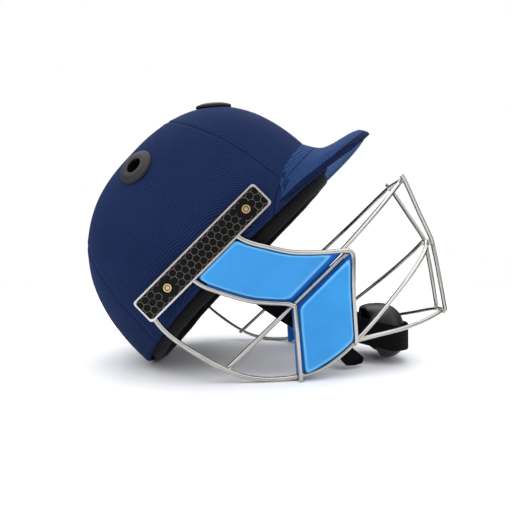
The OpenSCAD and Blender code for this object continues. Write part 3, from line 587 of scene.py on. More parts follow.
# The foam liner: a closed-cell foam bowl glued inside the shell, matt black, open at each
# vent. It carries the fitting pads and keeps the head off the shell.

LINER_OUT, LINER_IN, LINER_LIFT, LIP_LIFT, LINER_CUT = 5.3, 16.3, 3.0, 2.2, 9.6
LINER_COLUMNS, LINER_ROWS, LIP_ROWS = 160, 34, 8
liner_az = even_angles(lambda a: dome(a, 0, LINER_IN), 0, 360, LINER_COLUMNS)


def liner_point(i, j):
    az = liner_az[i % LINER_COLUMNS]
    low = rim_height(az) + LINER_LIFT
    if LINER_ROWS < j < LINER_ROWS + LIP_ROWS:
        a = pi * (j - LINER_ROWS) / LIP_ROWS
        middle, half = (LINER_IN + LINER_OUT) / 2, (LINER_IN - LINER_OUT) / 2
        lift = LIP_LIFT * (1 - sin(a) ** 0.7)
        return dome_at(az, low + lift, middle + half * cos(a))
    inner = j <= LINER_ROWS
    share = (j if inner else LINER_ROWS * 2 + LIP_ROWS - j) / LINER_ROWS
    depth = LINER_IN if inner else LINER_OUT
    return dome(az, lerp(90, climb(az, low + LIP_LIFT, depth), share), depth)


bm = grid(LINER_COLUMNS, LINER_ROWS * 2 + LIP_ROWS, liner_point)
for rim in cut_vents(bm, LINER_CUT):
    bmesh.ops.bridge_loops(bm, edges=rim)
liner_foam = moulded(
    "liner_foam", (0.004, 0.004, 0.0045), (0.01, 0.01, 0.011), (0.8, 0.95), size=900.0,
    depth=0.0004, strength=0.7, Specular_IOR_Level=0.12)
finish_piece("foam_bowl", bm, "helmet", "foam", [liner_foam], ["foam_liner"], sharp=50)

# The fitting pads: soft foam in brushed black lining cloth, stuck inside the liner round the
# brow, temples, ears and nape, with a round one under the crown. Each is swollen by cloth
# simulation from a slightly smaller solid.

FOAM_OUT, FOAM_T, PAD_TOP = 17.1, 7.0, 20.8
PAD_PRESSURE, PAD_FRAMES, PAD_SWELL = 4.0, 20, 0.0025


def pad_block(az_from, az_to, hang, columns, rows=12):
    """A closed pillow on the liner between two azimuths, drawn in to a soft edge all round."""
    bm = bmesh.new()
    for side in (1, -1):
        for vert, (i, j) in add_grid(bm, columns, rows).items():
            u, v = i / columns, j / rows
            full = max((1 - abs(2 * u - 1) ** 7) * (1 - abs(2 * v - 1) ** 5), 0.0) ** 0.5
            u, v = (lerp(w, 0.5 - 0.5 * cos(pi * w), 0.4) for w in (u, v))
            az = lerp(az_from, az_to, u)
            height = lerp(rim_height(az) - hang + 1.0, PAD_TOP, v)
            vert.co = dome_at(az, height, FOAM_OUT + FOAM_T * (0.5 + 0.36 * side * full))
    bmesh.ops.remove_doubles(bm, verts=bm.verts, dist=0.05)
    return bm


def crown_block(angle):
    """A round pad under the crown, domed to the liner."""
    bm = bmesh.new()
    bmesh.ops.create_uvsphere(bm, u_segments=36, v_segments=18, radius=1.0)
    for v in bm.verts:
        x, y, z = v.co
        turn, out = degrees(atan2(y, x)), min(hypot(x, y), 1.0)
        depth = FOAM_OUT + FOAM_T * 0.5 * (1 - z) * 0.9 + 0.5
        v.co = dome(turn, 90 - angle * out, depth)
    return bm


def swollen(name, bm):
    """A piece swollen from a closed bmesh as stuffed cloth, smoothed twice and subdivided."""
    mesh = as_mesh(name, bm, seat)
    piece = add_object(name, mesh)
    before = [v.co.copy() for v in mesh.vertices]
    cloth = piece.modifiers.new("cloth", "CLOTH")
    cloth.settings.use_pressure = True
    cloth.settings.uniform_pressure_force = PAD_PRESSURE
    cloth.settings.effector_weights.gravity = 0.0
    cloth.settings.quality = 5
    cloth.point_cache.frame_end = PAD_FRAMES
    for frame_number in range(1, PAD_FRAMES + 1):
        bpy.context.scene.frame_set(frame_number)
    moved = bpy.data.meshes.new_from_object(
        piece.evaluated_get(bpy.context.evaluated_depsgraph_get()))
    piece.modifiers.clear()
    bpy.context.scene.frame_set(1)
    piece.data = moved
    for v, start in zip(moved.vertices, before):
        step = v.co - start
        if step.length > PAD_SWELL:
            v.co = start + step.normalized() * PAD_SWELL
    bm = bmesh.new()
    bm.from_mesh(piece.data)
    for _ in range(2):
        bmesh.ops.smooth_vert(
            bm, verts=bm.verts, factor=0.5, use_axis_x=True, use_axis_y=True, use_axis_z=True)
    bmesh.ops.subdivide_edges(bm, edges=bm.edges, cuts=1, smooth=1.0, use_grid_fill=True)
    for f in bm.faces:
        f.smooth = True
    bm.to_mesh(piece.data)
    bm.free()
    return piece


lining_cloth, tree, shader = material(
    "lining_cloth", Roughness=0.92, Sheen_Weight=0.12, Sheen_Roughness=0.5,
    Sheen_Tint=(0.5, 0.5, 0.55, 1), Specular_IOR_Level=0.1)
where = object_place(tree)
knit = node(tree, "TexVoronoi", {"Vector": where, "Scale": 1100.0}).outputs["Distance"]
pile = calc("ADD", speckle(where, 900.0, 4.0), knit)
worn = speckle(where, 40.0, 3.0)
dress(shader, mixed(worn, (0.003, 0.003, 0.0035), (0.01, 0.01, 0.011)), (pile, 0.6, 0.0004))

for title, block in (
        ("brow", pad_block(-48.6, 48.6, 9, 48)), ("nape", pad_block(131.4, 228.6, 5, 48)),
        ("crown", crown_block(24.5)),
        ("temple_left", pad_block(50.3, 72.7, 9, 14)),
        ("temple_right", pad_block(-72.7, -50.3, 9, 14)),
        ("ear_left", pad_block(100.3, 129.7, 9, 16)),
        ("ear_right", pad_block(-129.7, -100.3, 9, 16))):
    place, _, end = title.partition("_")
    end = "_" + end if end else ""
    cushion = swollen(place + "_cushion" + end, block)
    cushion.data.materials.append(lining_cloth)
    place_piece(cushion, "helmet", [place + "_pad" + end])

# The lining's hem: a soft roll of the same black cloth, filled with foam strip, that is glued
# round the rim and hides the edge of the shell, the liner and the pads.

HEM_COLUMNS, HEM_SIDES = 220, 20
ROLL_DEPTH, ROLL_ACROSS, ROLL_UP = 10.6, 4.6, 6.2
HANG_REAR, HANG_FRONT, HANG_SIDE = 1.5, 3.9, 3.8


def hem_point(i, j):
    az, a = 360.0 * i / HEM_COLUMNS, tau * j / HEM_SIDES
    c, s = cos(radians(az)), sin(radians(az))
    lean = noise.noise(Vector((c, s, 0)) * 4.0)
    hang = lerp(HANG_REAR, HANG_FRONT, (1 + c) / 2) + HANG_SIDE * s ** 2
    return dome_at(az, rim_height(az) - hang + (ROLL_UP + 0.6 * lean) * sin(a),
                   ROLL_DEPTH + ROLL_ACROSS * cos(a) + 0.5 * lean)


hem = finish_piece(
    "lining_hem", grid(HEM_COLUMNS, HEM_SIDES, hem_point), "helmet", "lining_cloth",
    [lining_cloth])

# The vents: dark grey satin eyelets, moulded in plastic, two above the brow and one over
# each ear, with a broad bevelled flange on the cover and a short tube through the shell.

VENT_BORE = 7.25
VENT_PROFILE = [
    (VENT_BORE, -10.8), (VENT_BORE, 2.3), (7.35, 2.75), (7.6, 2.95), (8.0, 2.98), (11.5, 3.0),
    (11.8, 2.96), (12.1, 2.84), (12.5, 2.68), (15.8, 1.72), (16.2, 1.56), (16.55, 1.3),
    (16.75, 1.0), (16.9, 0.6), (17.0, -0.5), (16.0, -0.7)]
SATIN_GRAIN = {"size": 1400.0, "depth": 0.00005, "strength": 0.25}
vent_satin = moulded(
    "vent_satin", (0.01, 0.01, 0.011), (0.02, 0.02, 0.022), (0.5, 0.62), Specular_IOR_Level=0.22,
    **SATIN_GRAIN)
# The bore is painted near black: painted shade inside the eyelet's tube.
vent_throat_painted_shade = moulded(
    "vent_throat_painted_shade", (0.002, 0.002, 0.002), (0.004, 0.004, 0.004), (0.75, 0.9),
    Specular_IOR_Level=0.05, **SATIN_GRAIN)
for title, angles in VENTS.items():
    bm = bmesh.new()
    chain = [bm.verts.new((r, 0, h)) for r, h in VENT_PROFILE]
    edges = [bm.edges.new(pair) for pair in zip(chain, chain[1:])]
    bmesh.ops.spin(bm, geom=chain + edges, cent=(0, 0, 0), axis=(0, 0, 1), angle=tau,
                   steps=72, use_merge=True)
    bmesh.ops.remove_doubles(bm, verts=bm.verts, dist=1e-3)
    for f in bm.faces:
        f.material_index = int(f.calc_center_median().xy.length < VENT_BORE)
    p, n = vent_axis(*angles)
    turn = Vector((0, 0, 1)).rotation_difference(n)
    for v in bm.verts:
        v.co = p + turn @ v.co
    finish_piece("vent_eyelet_" + title, bm, "helmet", "vent_plastic", [vent_satin, vent_throat_painted_shade],
                 ["vent_" + title], sharp=35)

# The side plates: bright anodised aluminium strips screwed over the ends of the guard, each
# with a black face that carries a raised honeycomb, left plain round the screws.

ROW_PITCH = 0.8660254
comb, given = node_group("honeycomb", {"Place": (0, 0, 0), "Pitch": 6.0}, ("Wall",))
sides = axes(given["Place"])
reaches = []
for shifts in ((0.0, 0.0), (0.5, ROW_PITCH)):
    cell = []
    for axis, shift, step in zip("XZ", shifts, (1.0, 2 * ROW_PITCH)):
        value = calc("ADD", calc("DIVIDE", sides[axis], given["Pitch"]), shift)
        value = calc("SUBTRACT", calc("FLOORED_MODULO", value, step), step / 2)
        cell.append(calc("ABSOLUTE", value))
    slant = times_plus(cell[1], ROW_PITCH, calc("MULTIPLY", cell[0], 0.5))
    reaches.append(calc("MAXIMUM", slant, cell[0]))
wall = ranged(calc("MINIMUM", *reaches), 0.458, 0.486, interpolation_type="SMOOTHSTEP")
node(comb, "NodeGroupOutput", {"Wall": wall})

SCREW_XS = (-38.0, 48.0)


def both_sides(name):
    return name + "_right", name + "_left"


def plate_place(tree):
    """Millimetres of the worn helmet, in which the plates lie level."""
    values = {"Vector": object_place(tree), "Location": tuple(SEAT / MM),
              "Rotation": (0.0, -TIP, 0.0), "Scale": (1 / MM,) * 3}
    return node(tree, "Mapping", values, vector_type="TEXTURE").outputs[0]


def off_screws(place, mask):
    """A mask at both screws, made from the way off a screw's middle and its length."""
    tree = place.id_data
    flat = node(tree, "VectorMath", {0: place, 1: (1, 0, 1)}, operation="MULTIPLY").outputs[0]
    masks = []
    for x in SCREW_XS:
        off = node(tree, "VectorMath", {0: flat, 1: (x, 0, 0)}, operation="SUBTRACT").outputs[0]
        far = node(tree, "VectorMath", {0: off}, operation="LENGTH").outputs["Value"]
        masks.append(mask(off, far))
    return calc("MULTIPLY", *masks)


def outside_star(off, far):
    """A mask that opens outside a five-lobed plain patch."""
    spoke = axes(off)
    turn = calc("MULTIPLY", calc("ARCTAN2", spoke["Z"], spoke["X"]), 5.0)
    edge = times_plus(calc("COSINE", turn), 1.7, 7.3)
    return ranged(calc("SUBTRACT", far, edge), -0.3, 0.3)


plate_face, tree, shader = material("plate_face", Specular_IOR_Level=0.1)
laid = plate_place(tree)
cells = node(tree, "Group", {"Place": laid}, node_tree=comb).outputs["Wall"]
raised = calc("MULTIPLY", cells, off_screws(laid, outside_star))
worn = ranged(speckle(object_place(tree), 160.0, 5.0), 0.35, 0.65, 0.55, 1.0)
strength = calc("MULTIPLY", raised, worn)
dress(shader, mixed(strength, (0.002, 0.002, 0.0022), (0.17, 0.155, 0.135)),
      (raised, 0.8, 0.0004), ranged(strength, 0.0, 1.0, 0.42, 0.3))
paint_nodes(plate_face, *both_sides("plate_insert"))


def metal(name, dark, light, rough, streak=(60.0, 60.0, 900.0), strength=0.12):
    """A bare metal with fine drawn streaks, uneven gloss and dulled patches."""
    paint, tree, shader = material(name, Metallic=1.0)
    here = object_place(tree)
    drawn = node(tree, "Mapping", {"Vector": here, "Scale": streak}).outputs[0]
    lines, dulled = speckle(drawn, 6.0, 3.0), speckle(here, 90.0, 6.0)
    gloss = ranged(times_plus(lines, 0.3, dulled), 0.35, 0.95, *rough)
    dress(shader, mixed(dulled, dark, light), (lines, strength, 0.00003), gloss)
    return paint


plate_metal = metal("plate_metal", (0.46, 0.46, 0.47), (0.66, 0.66, 0.67), (0.16, 0.34))
paint_nodes(plate_metal, *both_sides("side_plate"))

# The plate fixings: polished brass ferrules through the plate, with plain steel screws and
# nuts that clamp plate, wires and shell together, and steel posts for the chin strap.

brass = metal("ferrule_brass", (0.5, 0.33, 0.1), (0.8, 0.58, 0.22), (0.16, 0.34))
steel = metal("screw_steel", (0.34, 0.33, 0.31), (0.56, 0.54, 0.5), (0.18, 0.4))
paint_nodes(brass, *both_sides("plate_ferrules"))
paint_nodes(steel, *both_sides("plate_nuts"), *both_sides("strap_anchor"))
screw_head = steel.copy()
screw_head.name = "screw_head"
tree = screw_head.node_tree
shader = tree.nodes["Principled BSDF"]
# Painted shade: each screw head is darkened outside its middle, where it meets the ferrule.
socket = off_screws(plate_place(tree), lambda off, far: ranged(far, 1.5, 1.7))
bright = shader.inputs["Base Color"].links[0].from_socket
dress(shader, mixed(socket, bright, (0.02, 0.018, 0.015)))
paint_nodes(screw_head, *both_sides("plate_screws"))

# The face guard: 4 mm polished steel wire, bent by hand and welded. The main bar runs under
# the jaw from plate to plate, and the other wires are welded to it and to each other.

GUARD_REACH, WIRE_Y, GUARD_DROP, WIRE_R, WIRE_SIDES = 178.0, 104.0, 198.0, 2.0, 20
WIRE_KNOTS = {
    "main_bar": [(-0.337, 1.0, -0.025), (-0.362, 0.986, 0.101), (-0.343, 0.942, 0.258),
        (-0.284, 0.88, 0.444), (-0.169, 0.817, 0.583), (0.0, 0.75, 0.684), (0.213, 0.663, 0.715),
        (0.438, 0.5, 0.725), (0.663, 0.317, 0.727), (0.82, 0.163, 0.717), (0.882, 0.048, 0.702)],
    "chin_bar": [(0.205, 0.625, 0.72), (0.287, 0.558, 0.773), (0.41, 0.413, 0.859),
        (0.511, 0.288, 0.922), (0.59, 0.192, 0.962), (0.652, 0.111, 0.99), (0.674, 0.029, 1.0)],
    "top_bar": [(0.461, 0.686, 0.396), (0.562, 0.615, 0.396), (0.758, 0.452, 0.394),
        (0.904, 0.317, 0.389), (0.972, 0.236, 0.387), (1.0, 0.154, 0.386)],
    "front_strut": [(0.146, 0.998, -0.025), (0.166, 0.995, 0.076), (0.219, 0.935, 0.162),
        (0.287, 0.875, 0.253), (0.393, 0.784, 0.346), (0.472, 0.726, 0.407),
        (0.483, 0.721, 0.432), (0.461, 0.719, 0.46), (0.368, 0.714, 0.545), (0.199, 0.702, 0.716)],
    "rear_strut": [(-0.124, 0.998, -0.025), (-0.107, 0.995, 0.074), (-0.082, 0.962, 0.136),
        (-0.006, 0.889, 0.268), (0.09, 0.817, 0.374), (0.112, 0.803, 0.409),
        (0.096, 0.804, 0.439), (-0.104, 0.827, 0.649)],
    "centre_strut": [(1.01, 0.24, 0.364), (1.004, 0.221, 0.404), (0.952, 0.144, 0.566),
        (0.91, 0.091, 0.697), (0.88, 0.087, 0.745), (0.806, 0.091, 0.843), (0.677, 0.101, 1.006)],
    "side_rail": [(0.494, 0.683, 0.419), (-0.32, 0.856, 0.399)]}


def mirrored(path, side=-1):
    """A path as it lies on the left, or its mirror image on the right."""
    return [Vector((p.x, p.y * side, p.z)) for p in path]


def smooth_path(knots, steps):
    """Points on a smooth path through knots, steps of them from one knot to the next."""
    last = len(knots) - 1
    return [curve(*(knots[held(i + n, 0, last)] for n in (-1, 0, 1, 2)), k / steps)
            for i in range(last) for k in range(steps)] + [knots[last].copy()]


def straight_path(start, stop, steps):
    return [start.lerp(stop, t / steps) for t in range(steps + 1)]


def guard_path(title):
    """A wire's path on the left, or over both sides where it is a bar."""
    half = [Vector((x * GUARD_REACH, y * WIRE_Y, -z * GUARD_DROP))
            for x, y, z in WIRE_KNOTS[title]]
    if title.endswith("_bar"):
        half = mirrored(half) + half[::-1]
    return smooth_path(smooth_path(half, 2), 5) if len(half) > 2 else straight_path(*half, 30)


def way_along(path, i):
    return (path[min(i + 1, len(path) - 1)] - path[max(i - 1, 0)]).normalized()


def swept(path, ring):
    """Sweeps a ring of (across, out) offsets along a path of (point, across, out) frames."""
    bm = bmesh.new()
    uv = bm.loops.layers.uv.new("cloth")
    rows = [[bm.verts.new(p + a * u + o * w) for u, w in ring] for p, a, o in path]
    run = [0.0]
    for (p, _, _), (q, _, _) in zip(path, path[1:]):
        run.append(run[-1] + (q - p).length / 10)
    for i in range(len(rows) - 1):
        for k in range(len(ring)):
            m = (k + 1) % len(ring)
            corners = ((i, k), (i, m), (i + 1, m), (i + 1, k))
            f = bm.faces.new([rows[row][column] for row, column in corners])
            for loop, (row, column) in zip(f.loops, corners):
                loop[uv].uv = (ring[column][0] / 10, run[row])
    for row in (rows[0], rows[-1]):
        bm.faces.new(row)
    return bm


def carried_frames(path, start):
    """Frames along a path that turn as little as they can."""
    frames, side = [], Vector(start)
    for i, p in enumerate(path):
        way = way_along(path, i)
        side = (side - way * side.dot(way)).normalized()
        frames.append((p, side, way.cross(side)))
    return frames


wire_angles = [tau * k / WIRE_SIDES for k in range(WIRE_SIDES)]
wire_ring = [(WIRE_R * cos(a), WIRE_R * sin(a)) for a in wire_angles]
guard_steel = metal(
    "guard_steel", (0.36, 0.345, 0.32), (0.5, 0.485, 0.455), (0.1, 0.22),
    streak=(200.0, 200.0, 200.0), strength=0.0)
wires = {}
for title in WIRE_KNOTS:
    if title.endswith("_bar"):
        wires[title] = guard_path(title)
    else:
        wires[title + "_left"] = guard_path(title)
        wires[title + "_right"] = mirrored(wires[title + "_left"])
for title, path in wires.items():
    bm = swept(carried_frames(path, (0.31, 0.95, 0.12)), wire_ring)
    finish_piece("wire_" + title, bm, "helmet", "guard_steel", [guard_steel], [title], sharp=60)

# The welds: small smooth beads where two guard wires cross or end on one another, a little
# duller and browner than the polished wire.

JOINED = [("front_strut", "main_bar"), ("rear_strut", "main_bar"), ("centre_strut", "main_bar"),
          ("centre_strut", "top_bar"), ("centre_strut", "chin_bar"), ("front_strut", "top_bar"),
          ("front_strut", "side_rail"), ("rear_strut", "side_rail"), ("side_rail", "main_bar")]
BEAD_R, BEAD_HALF, LUMP = 1.75, 2.9, 0.08
weld_metal = metal(
    "weld_metal", (0.27, 0.23, 0.19), (0.58, 0.54, 0.48), (0.28, 0.5),
    streak=(300.0, 300.0, 300.0), strength=0.3)


def weld_bead(bm, one, other):
    """A bead between the nearest points of two wires, drawn out along the first."""
    gap, i, k = min(((p - q).length, i, k) for i, p in enumerate(one) for k, q in enumerate(other))
    if gap > WIRE_R * 3:
        return
    p, q = one[i], other[k]
    middle = (p + q) / 2
    turn = Vector((0, 0, 1)).rotation_difference(way_along(one, i))
    link = (q - p).normalized() if gap > 1e-6 else Vector((0, 1, 0))
    for v in bmesh.ops.create_uvsphere(bm, u_segments=20, v_segments=12, radius=1.0)["verts"]:
        lumpy = 1 + LUMP * noise.noise(v.co * 2.3 + middle)
        co = turn @ Vector((v.co.x * BEAD_R, v.co.y * BEAD_R, v.co.z * BEAD_HALF)) * lumpy
        v.co = middle + co + link * co.dot(link) * 0.35


bm = bmesh.new()
for one, other in JOINED:
    for side in ("_left", "_right"):
        weld_bead(bm, wires[one + side], wires.get(other + side) or wires[other])
for end in (wires["chin_bar"][0], wires["chin_bar"][-1]):
    weld_bead(bm, [end, end, end * 1.001], wires["main_bar"])
finish_piece("guard_welds", bm, "helmet", "guard_steel", [weld_metal], recalculated=False)

# The guard pads: azure foam mouldings clipped between the side wires, two a side. A flange
# lies behind the wires, painted darker as shade, and a raised face stands between them.

CHEEK, JAW = (0.056, 0.409, 0.056, 0.407), (0.409, 0.649, 0.407, 0.716)
MARGIN = 4.0 / (GUARD_REACH * 0.36)
CORNER, CORNER_STEPS, SIDE_STEPS = 0.055, 8, 12
JAW_SAG, FLANGE_ROWS, EDGE_ROW = 3.4, 8, 16


def strut_at(path, share):
    """Where a strut crosses a share of the guard's drop."""
    z = -share * GUARD_DROP
    for a, b in zip(path, path[1:]):
        if min(a.z, b.z) <= z <= max(a.z, b.z) and abs(a.z - b.z) > 1e-9:
            return a.lerp(b, (z - a.z) / (b.z - a.z))
    return (path[0] if abs(path[0].z - z) < abs(path[-1].z - z) else path[-1]).copy()


def pad_ring(cell, margins, out, corner):
    """A rounded outline in a cell between the struts, moved out from the wires' middle. Its foot
    sags with the main bar where the cell ends on it."""
    near, far, top, foot = margins
    lo_p, hi_p, lo_q, hi_q = near + corner, 1 - far - corner, top + corner, 1 - foot - corner
    corners = [(hi_p, hi_q, 0), (lo_p, hi_q, 90), (lo_p, lo_q, 180), (hi_p, lo_q, 270)]
    ring = []
    for (cp, cq, start), (np_, nq, _) in zip(corners, corners[1:] + corners[:1]):
        arc = [(cp, cq, radians(start + 90 * i / CORNER_STEPS)) for i in range(CORNER_STEPS + 1)]
        side = [(lerp(cp, np_, i / SIDE_STEPS), lerp(cq, nq, i / SIDE_STEPS), arc[-1][2])
                for i in range(1, SIDE_STEPS)]
        ring += [(p + corner * cos(a), q + corner * sin(a)) for p, q, a in arc + side]
    points = []
    for p, q in ring:
        rear = strut_at(wires["rear_strut_left"], lerp(cell[0], cell[1], q))
        front = strut_at(wires["front_strut_left"], lerp(cell[2], cell[3], q))
        sag = JAW_SAG * 4 * p * (1 - p) * max(0.0, q - 0.4) / 0.6 if cell is JAW else 0.0
        points.append(rear.lerp(front, p) + Vector((0.25 * sag, out, -sag)))
    return points


def guard_pad(cell, flange, raised, face, side):
    """A moulded pad as a stack of rings from its back to its crowned face."""
    stack = (
        (flange, ((0.25, -11.3), (0.03, -11.3), (0.008, -11.0), (0, -10.2), (0, -7.4),
                  (0.006, -6.6), (0.02, -6.3))),
        (raised, ((-0.02, -6.3), (-0.004, -5.9), (0, -5.0), (0, -0.6))),
        (face, ((0.002, 0.2), (0, 0.6), (0.003, 1.2), (0.01, 1.8), (0.02, 2.3), (0.034, 2.65),
                (0.052, 2.85), (0.085, 2.97), (0.13, 3.0), (0.2, 3.0))))
    bm = bmesh.new()
    # A painted highlight runs round the rows near EDGE_ROW, along the face's edge.
    painted_edge_highlight = bm.verts.layers.float.new("painted_edge_highlight")
    rows = []
    for outline, inwards, out in ((part, *step) for part, steps in stack for step in steps):
        margins = [m + inwards for m in outline]
        corner = min(CORNER, max((0.5 - max(margins)) * 0.8, 0.01))
        ring = mirrored(pad_ring(cell, margins, out, corner), side)
        rows.append([bm.verts.new(p) for p in ring])
        for v in rows[-1]:
            v[painted_edge_highlight] = max(0.0, 1 - abs(len(rows) - EDGE_ROW) / 2.0)
    for level, (a, b) in enumerate(zip(rows, rows[1:])):
        for k in range(len(a)):
            n = (k + 1) % len(a)
            bm.faces.new((a[k], a[n], b[n], b[k])).material_index = int(level < FLANGE_ROWS)
    for row in (rows[0], rows[-1]):
        centre = bm.verts.new(sum((v.co for v in row), Vector()) / len(row))
        for k in range(len(row)):
            bm.faces.new((row[k], row[(k + 1) % len(row)], centre))
    return bm


def azure_foam(name, dark, light):
    """Moulded foam with a smooth skin, and a painted highlight along its face's edge."""
    paint = moulded(name, dark, light, (0.32, 0.44), size=1200.0, depth=0.00006, strength=0.3,
                    Specular_IOR_Level=0.3)
    tree, shader = paint.node_tree, paint.node_tree.nodes["Principled BSDF"]
    highlight_share = node(tree, "Attribute", attribute_name="painted_edge_highlight").outputs["Fac"]
    plain = shader.inputs["Base Color"].links[0].from_socket
    dress(shader, mixed(calc("MULTIPLY", highlight_share, 0.4), plain, (0.28, 0.7, 1.0)))
    return paint


pad_paints = [azure_foam("azure_face", (0.014, 0.195, 0.51), (0.03, 0.295, 0.69)),
              azure_foam("azure_flange_painted_shade", (0.0015, 0.105, 0.47), (0.004, 0.16, 0.62))]
for title, cell, *shares in (
        ("cheek", CHEEK, (0.2, -0.3, 1.6, 0.1), (1.3, 1.0, 2.2, 1.4), (1.15, 0.85, -0.1, 1.3)),
        ("jaw", JAW, (-0.8, -0.3, 0.4, -0.2), (1.2, 1.0, 1.8, 1.0), (1.1, 0.85, 1.6, 0.9))):
    levels = [[MARGIN * share for share in level] for level in shares]
    for end, side in (("_left", 1), ("_right", -1)):
        pad = finish_piece(title + "_foam" + end, guard_pad(cell, *levels, side), "helmet",
                           "azure_foam", pad_paints, [title + "_guard_pad" + end])

# The chin strap: black polyester webbing, 24 mm wide, from a steel post inside each ear to
# the chin cup. It hangs free, its width upright, and only its ends are held.

STRAP_REACH, STRAP_DROP, STRAP_W, STRAP_T = 154.0, 76.0, 24.0, 1.6
ANCHOR_Y, BAND_SIDE = 84.0, 32.4
STRAP = [(-0.052, 0.026, -0.1), (0.0, 0.026, 0.0), (0.06, 0.057, 0.11), (0.16, 0.158, 0.28),
         (0.28, 0.307, 0.47), (0.4, 0.501, 0.65), (0.5, 0.662, 0.77), (0.56, 0.743, 0.825),
         (0.82, 1.026, 0.93)]
ANCHOR = seat((5.0, 0.0, -6.0)) * MM
WEBBING_EDGE = [(0.985, 0.8), (1.0, 0.0), (0.985, -0.8)]
WEBBING_FLAT = (-0.94, -0.8, -0.5, -0.2, 0.2, 0.5, 0.8, 0.94)


def hung(s):
    """A strap share as a standing point in millimetres, on the left."""
    return ANCHOR + Vector(
        (s[0] * STRAP_REACH, lerp(ANCHOR_Y, BAND_SIDE, s[1]), -s[2] * STRAP_DROP))


def standing(point):
    """A point of the standing helmet in millimetres, in metres."""
    return point / MM


def upright(way):
    """The direction across a way that is as upright as it can be."""
    return (Vector((0, 0, 1)) - way * way.z).normalized()


def webbing_piece(name, path, node_name):
    """Webbing along a path, its width upright, with softly rounded selvedges."""
    frames = []
    for i, p in enumerate(path):
        way = way_along(path, i)
        frames.append((p, upright(way), upright(way).cross(way)))
    section = [(u, 1.0) for u in WEBBING_FLAT] + WEBBING_EDGE
    section = [(STRAP_W / 2 * u, STRAP_T / 2 * w) for u, w in section]
    ring = section + [(-u, -w) for u, w in section]
    finish_piece(name, swept(frames, ring), "chin_strap", "webbing", [webbing], [node_name],
                 sharp=50, stand=standing)


webbing, tree, shader = material(
    "webbing_black", Roughness=0.8, Sheen_Weight=0.05, Sheen_Roughness=0.45,
    Sheen_Tint=(0.5, 0.5, 0.55, 1), Specular_IOR_Level=0.06)
cloth = node(tree, "UVMap", uv_map="cloth").outputs[0]
sides = axes(cloth)
warp, weft = wave(sides["X"], 0.14), wave(sides["Y"], 0.11)
bars = times_plus(warp, 0.7, calc("MULTIPLY", warp, weft))
fuzz = times_plus(bars, 0.3, speckle(cloth, 25.0, 4.0))
dress(shader, mixed(fuzz, (0.0012, 0.0012, 0.0014), (0.0045, 0.0045, 0.0048)),
      (bars, 0.6, 0.00025))

line_start, line_end = hung(STRAP[-2]), hung(STRAP[-1])
strap_path = smooth_path([hung(s) for s in STRAP[:-1]], 7)
strap_path += straight_path(line_start, line_end, 12)[1:]
for end, side in (("left", 1), ("right", -1)):
    webbing_piece("webbing_" + end, mirrored(strap_path, side), "strap_" + end)

# The cup's band: a length of the same webbing round the front of the chin cup, stitched to
# the two straps at its ends, so that it carries the cup.

CUP_FRONT, CUP_POWER = 24.7, 2.6
BAND_FRONT, BAND_FALL, BAND_START = CUP_FRONT + 2.4, 2.7, 80.0
CUP_CENTRE = ANCHOR + Vector((STRAP_REACH, 0, -STRAP_DROP))
line_way = (line_end - line_start).normalized()


def round_cup(turn):
    x, y, _ = bulge(turn, 0, (BAND_FRONT, BAND_SIDE, 0), 2 / CUP_POWER, 1)
    return CUP_CENTRE + Vector((x, y, -BAND_FALL))


half = straight_path(line_end + line_way * 0.9, round_cup(BAND_START), 12)[:-1]
half += [round_cup(turn) for turn in even_angles(round_cup, BAND_START, 0, 24)]
webbing_piece("cup_webbing", half + mirrored(half[-2::-1]), "cup_band")

# The slider and the loose end: a black moulded ladder slider on the right strap, with the
# strap's cut end turned back through it and hanging out.

TAIL = [(-5.4, 0.0), (7.6, 0.0), (14.2, 5.2), (20.5, 10.8), (19.4, 14.4), (17.3, 17.3),
        (9.0, 20.4), (0.0, 21.6), (-4.0, 17.6), (-6.5, 13.0)]
TAIL_LEAN, TAIL_BOW, TAIL_ROUND = radians(38), 0.9, 0.4
strap_plastic = moulded(
    "strap_plastic", (0.004, 0.004, 0.0045), (0.01, 0.01, 0.011), (0.3, 0.5), size=1300.0,
    depth=0.00006, Specular_IOR_Level=0.3)
paint_nodes(strap_plastic, "strap_slider")
up = upright(line_way)
out = up.cross(line_way)
foot = line_start.lerp(line_end, 0.7) - up * (STRAP_W / 2 + STRAP_T * 1.4 + 0.9)
down = out * sin(TAIL_LEAN) - up * cos(TAIL_LEAN)
bm = bmesh.new()
bm.faces.new([bm.verts.new(foot + line_way * x + down * z + out * (TAIL_BOW * sin(z / 7)))
              for x, z in TAIL])
layer = bm.loops.layers.uv.new("cloth")
for f in bm.faces:
    for loop, (x, z) in zip(f.loops, TAIL):
        loop[layer].uv = (z / 10, x / 10)
bmesh.ops.solidify(bm, geom=list(bm.faces), thickness=STRAP_T)
for v in bm.verts:
    v.co = standing(mirrored([v.co])[0])
bmesh.ops.recalc_face_normals(bm, faces=bm.faces)
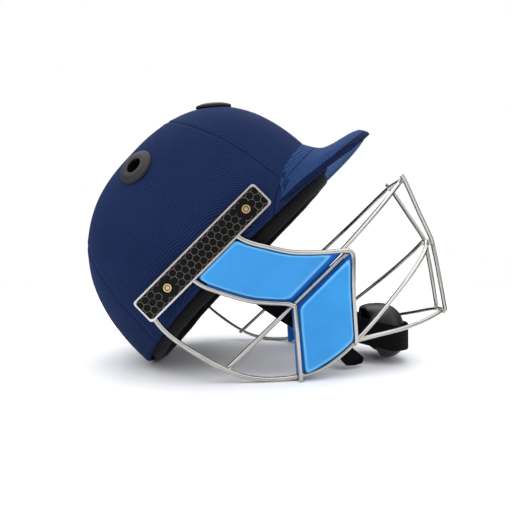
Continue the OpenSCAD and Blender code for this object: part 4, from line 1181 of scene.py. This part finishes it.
bmesh.ops.bevel(bm, geom=list(bm.edges), offset=TAIL_ROUND / MM, segments=2, profile=0.5,
                affect="EDGES", material=-1)
finish_piece(
    "webbing_end", bm, "slider", "webbing", [webbing], ["strap_tail"], sharp=50, stand=Vector)

# The chin cup: a black satin moulding that is deep enough to hold the chin, open towards the
# wearer, with a soft rounded lip. It tilts on a boss at each side.

CUP_HALF_W, CUP_HALF_H, CUP_WALL = 30.0, 27.0, 3.5
CUP_COLUMNS, CUP_ROWS, CUP_LIP_ROWS = 96, 30, 8
CUP_TIP, CUP_LIP, CUP_CUTAWAY = radians(-5), -23.5, 30.0


def cup_point(el, az, t):
    """A point t inside the cup's outer face, turned with the cup."""
    halves = CUP_HALF_H - t, CUP_HALF_W - t, CUP_FRONT - t
    z, y, x = bulge(az, el, halves, 2 / CUP_POWER, 2 / CUP_POWER)
    c, s = cos(CUP_TIP), sin(CUP_TIP)
    return CUP_CENTRE + Vector((x * c + z * s, y, -x * s + z * c))


def cup_grid(i, j):
    """The wall from the middle of its outside, round its lip, cut away below, to its inside."""
    az = 360 * i / CUP_COLUMNS
    lip = CUP_LIP + CUP_CUTAWAY * max(0.0, -cos(radians(az))) ** 1.5
    if j <= CUP_ROWS:
        return cup_point(lerp(90, lip, j / CUP_ROWS), az, 0)
    if j < CUP_ROWS + CUP_LIP_ROWS:
        a = pi * (j - CUP_ROWS) / CUP_LIP_ROWS
        return cup_point(lip - 1.5 * sin(a), az, CUP_WALL / 2 * (1 - cos(a)))
    return cup_point(lerp(lip, 90, (j - CUP_ROWS - CUP_LIP_ROWS) / CUP_ROWS), az, CUP_WALL)


cup_satin = moulded(
    "cup_satin", (0.002, 0.002, 0.0024), (0.0055, 0.0055, 0.006), (0.26, 0.4), size=1500.0,
    depth=0.00005, strength=0.25, Specular_IOR_Level=0.35)
finish_piece("moulded_cup", grid(CUP_COLUMNS, CUP_ROWS * 2 + CUP_LIP_ROWS, cup_grid), "cup",
             "strap_plastic", [cup_satin], ["chin_cup"], stand=standing)
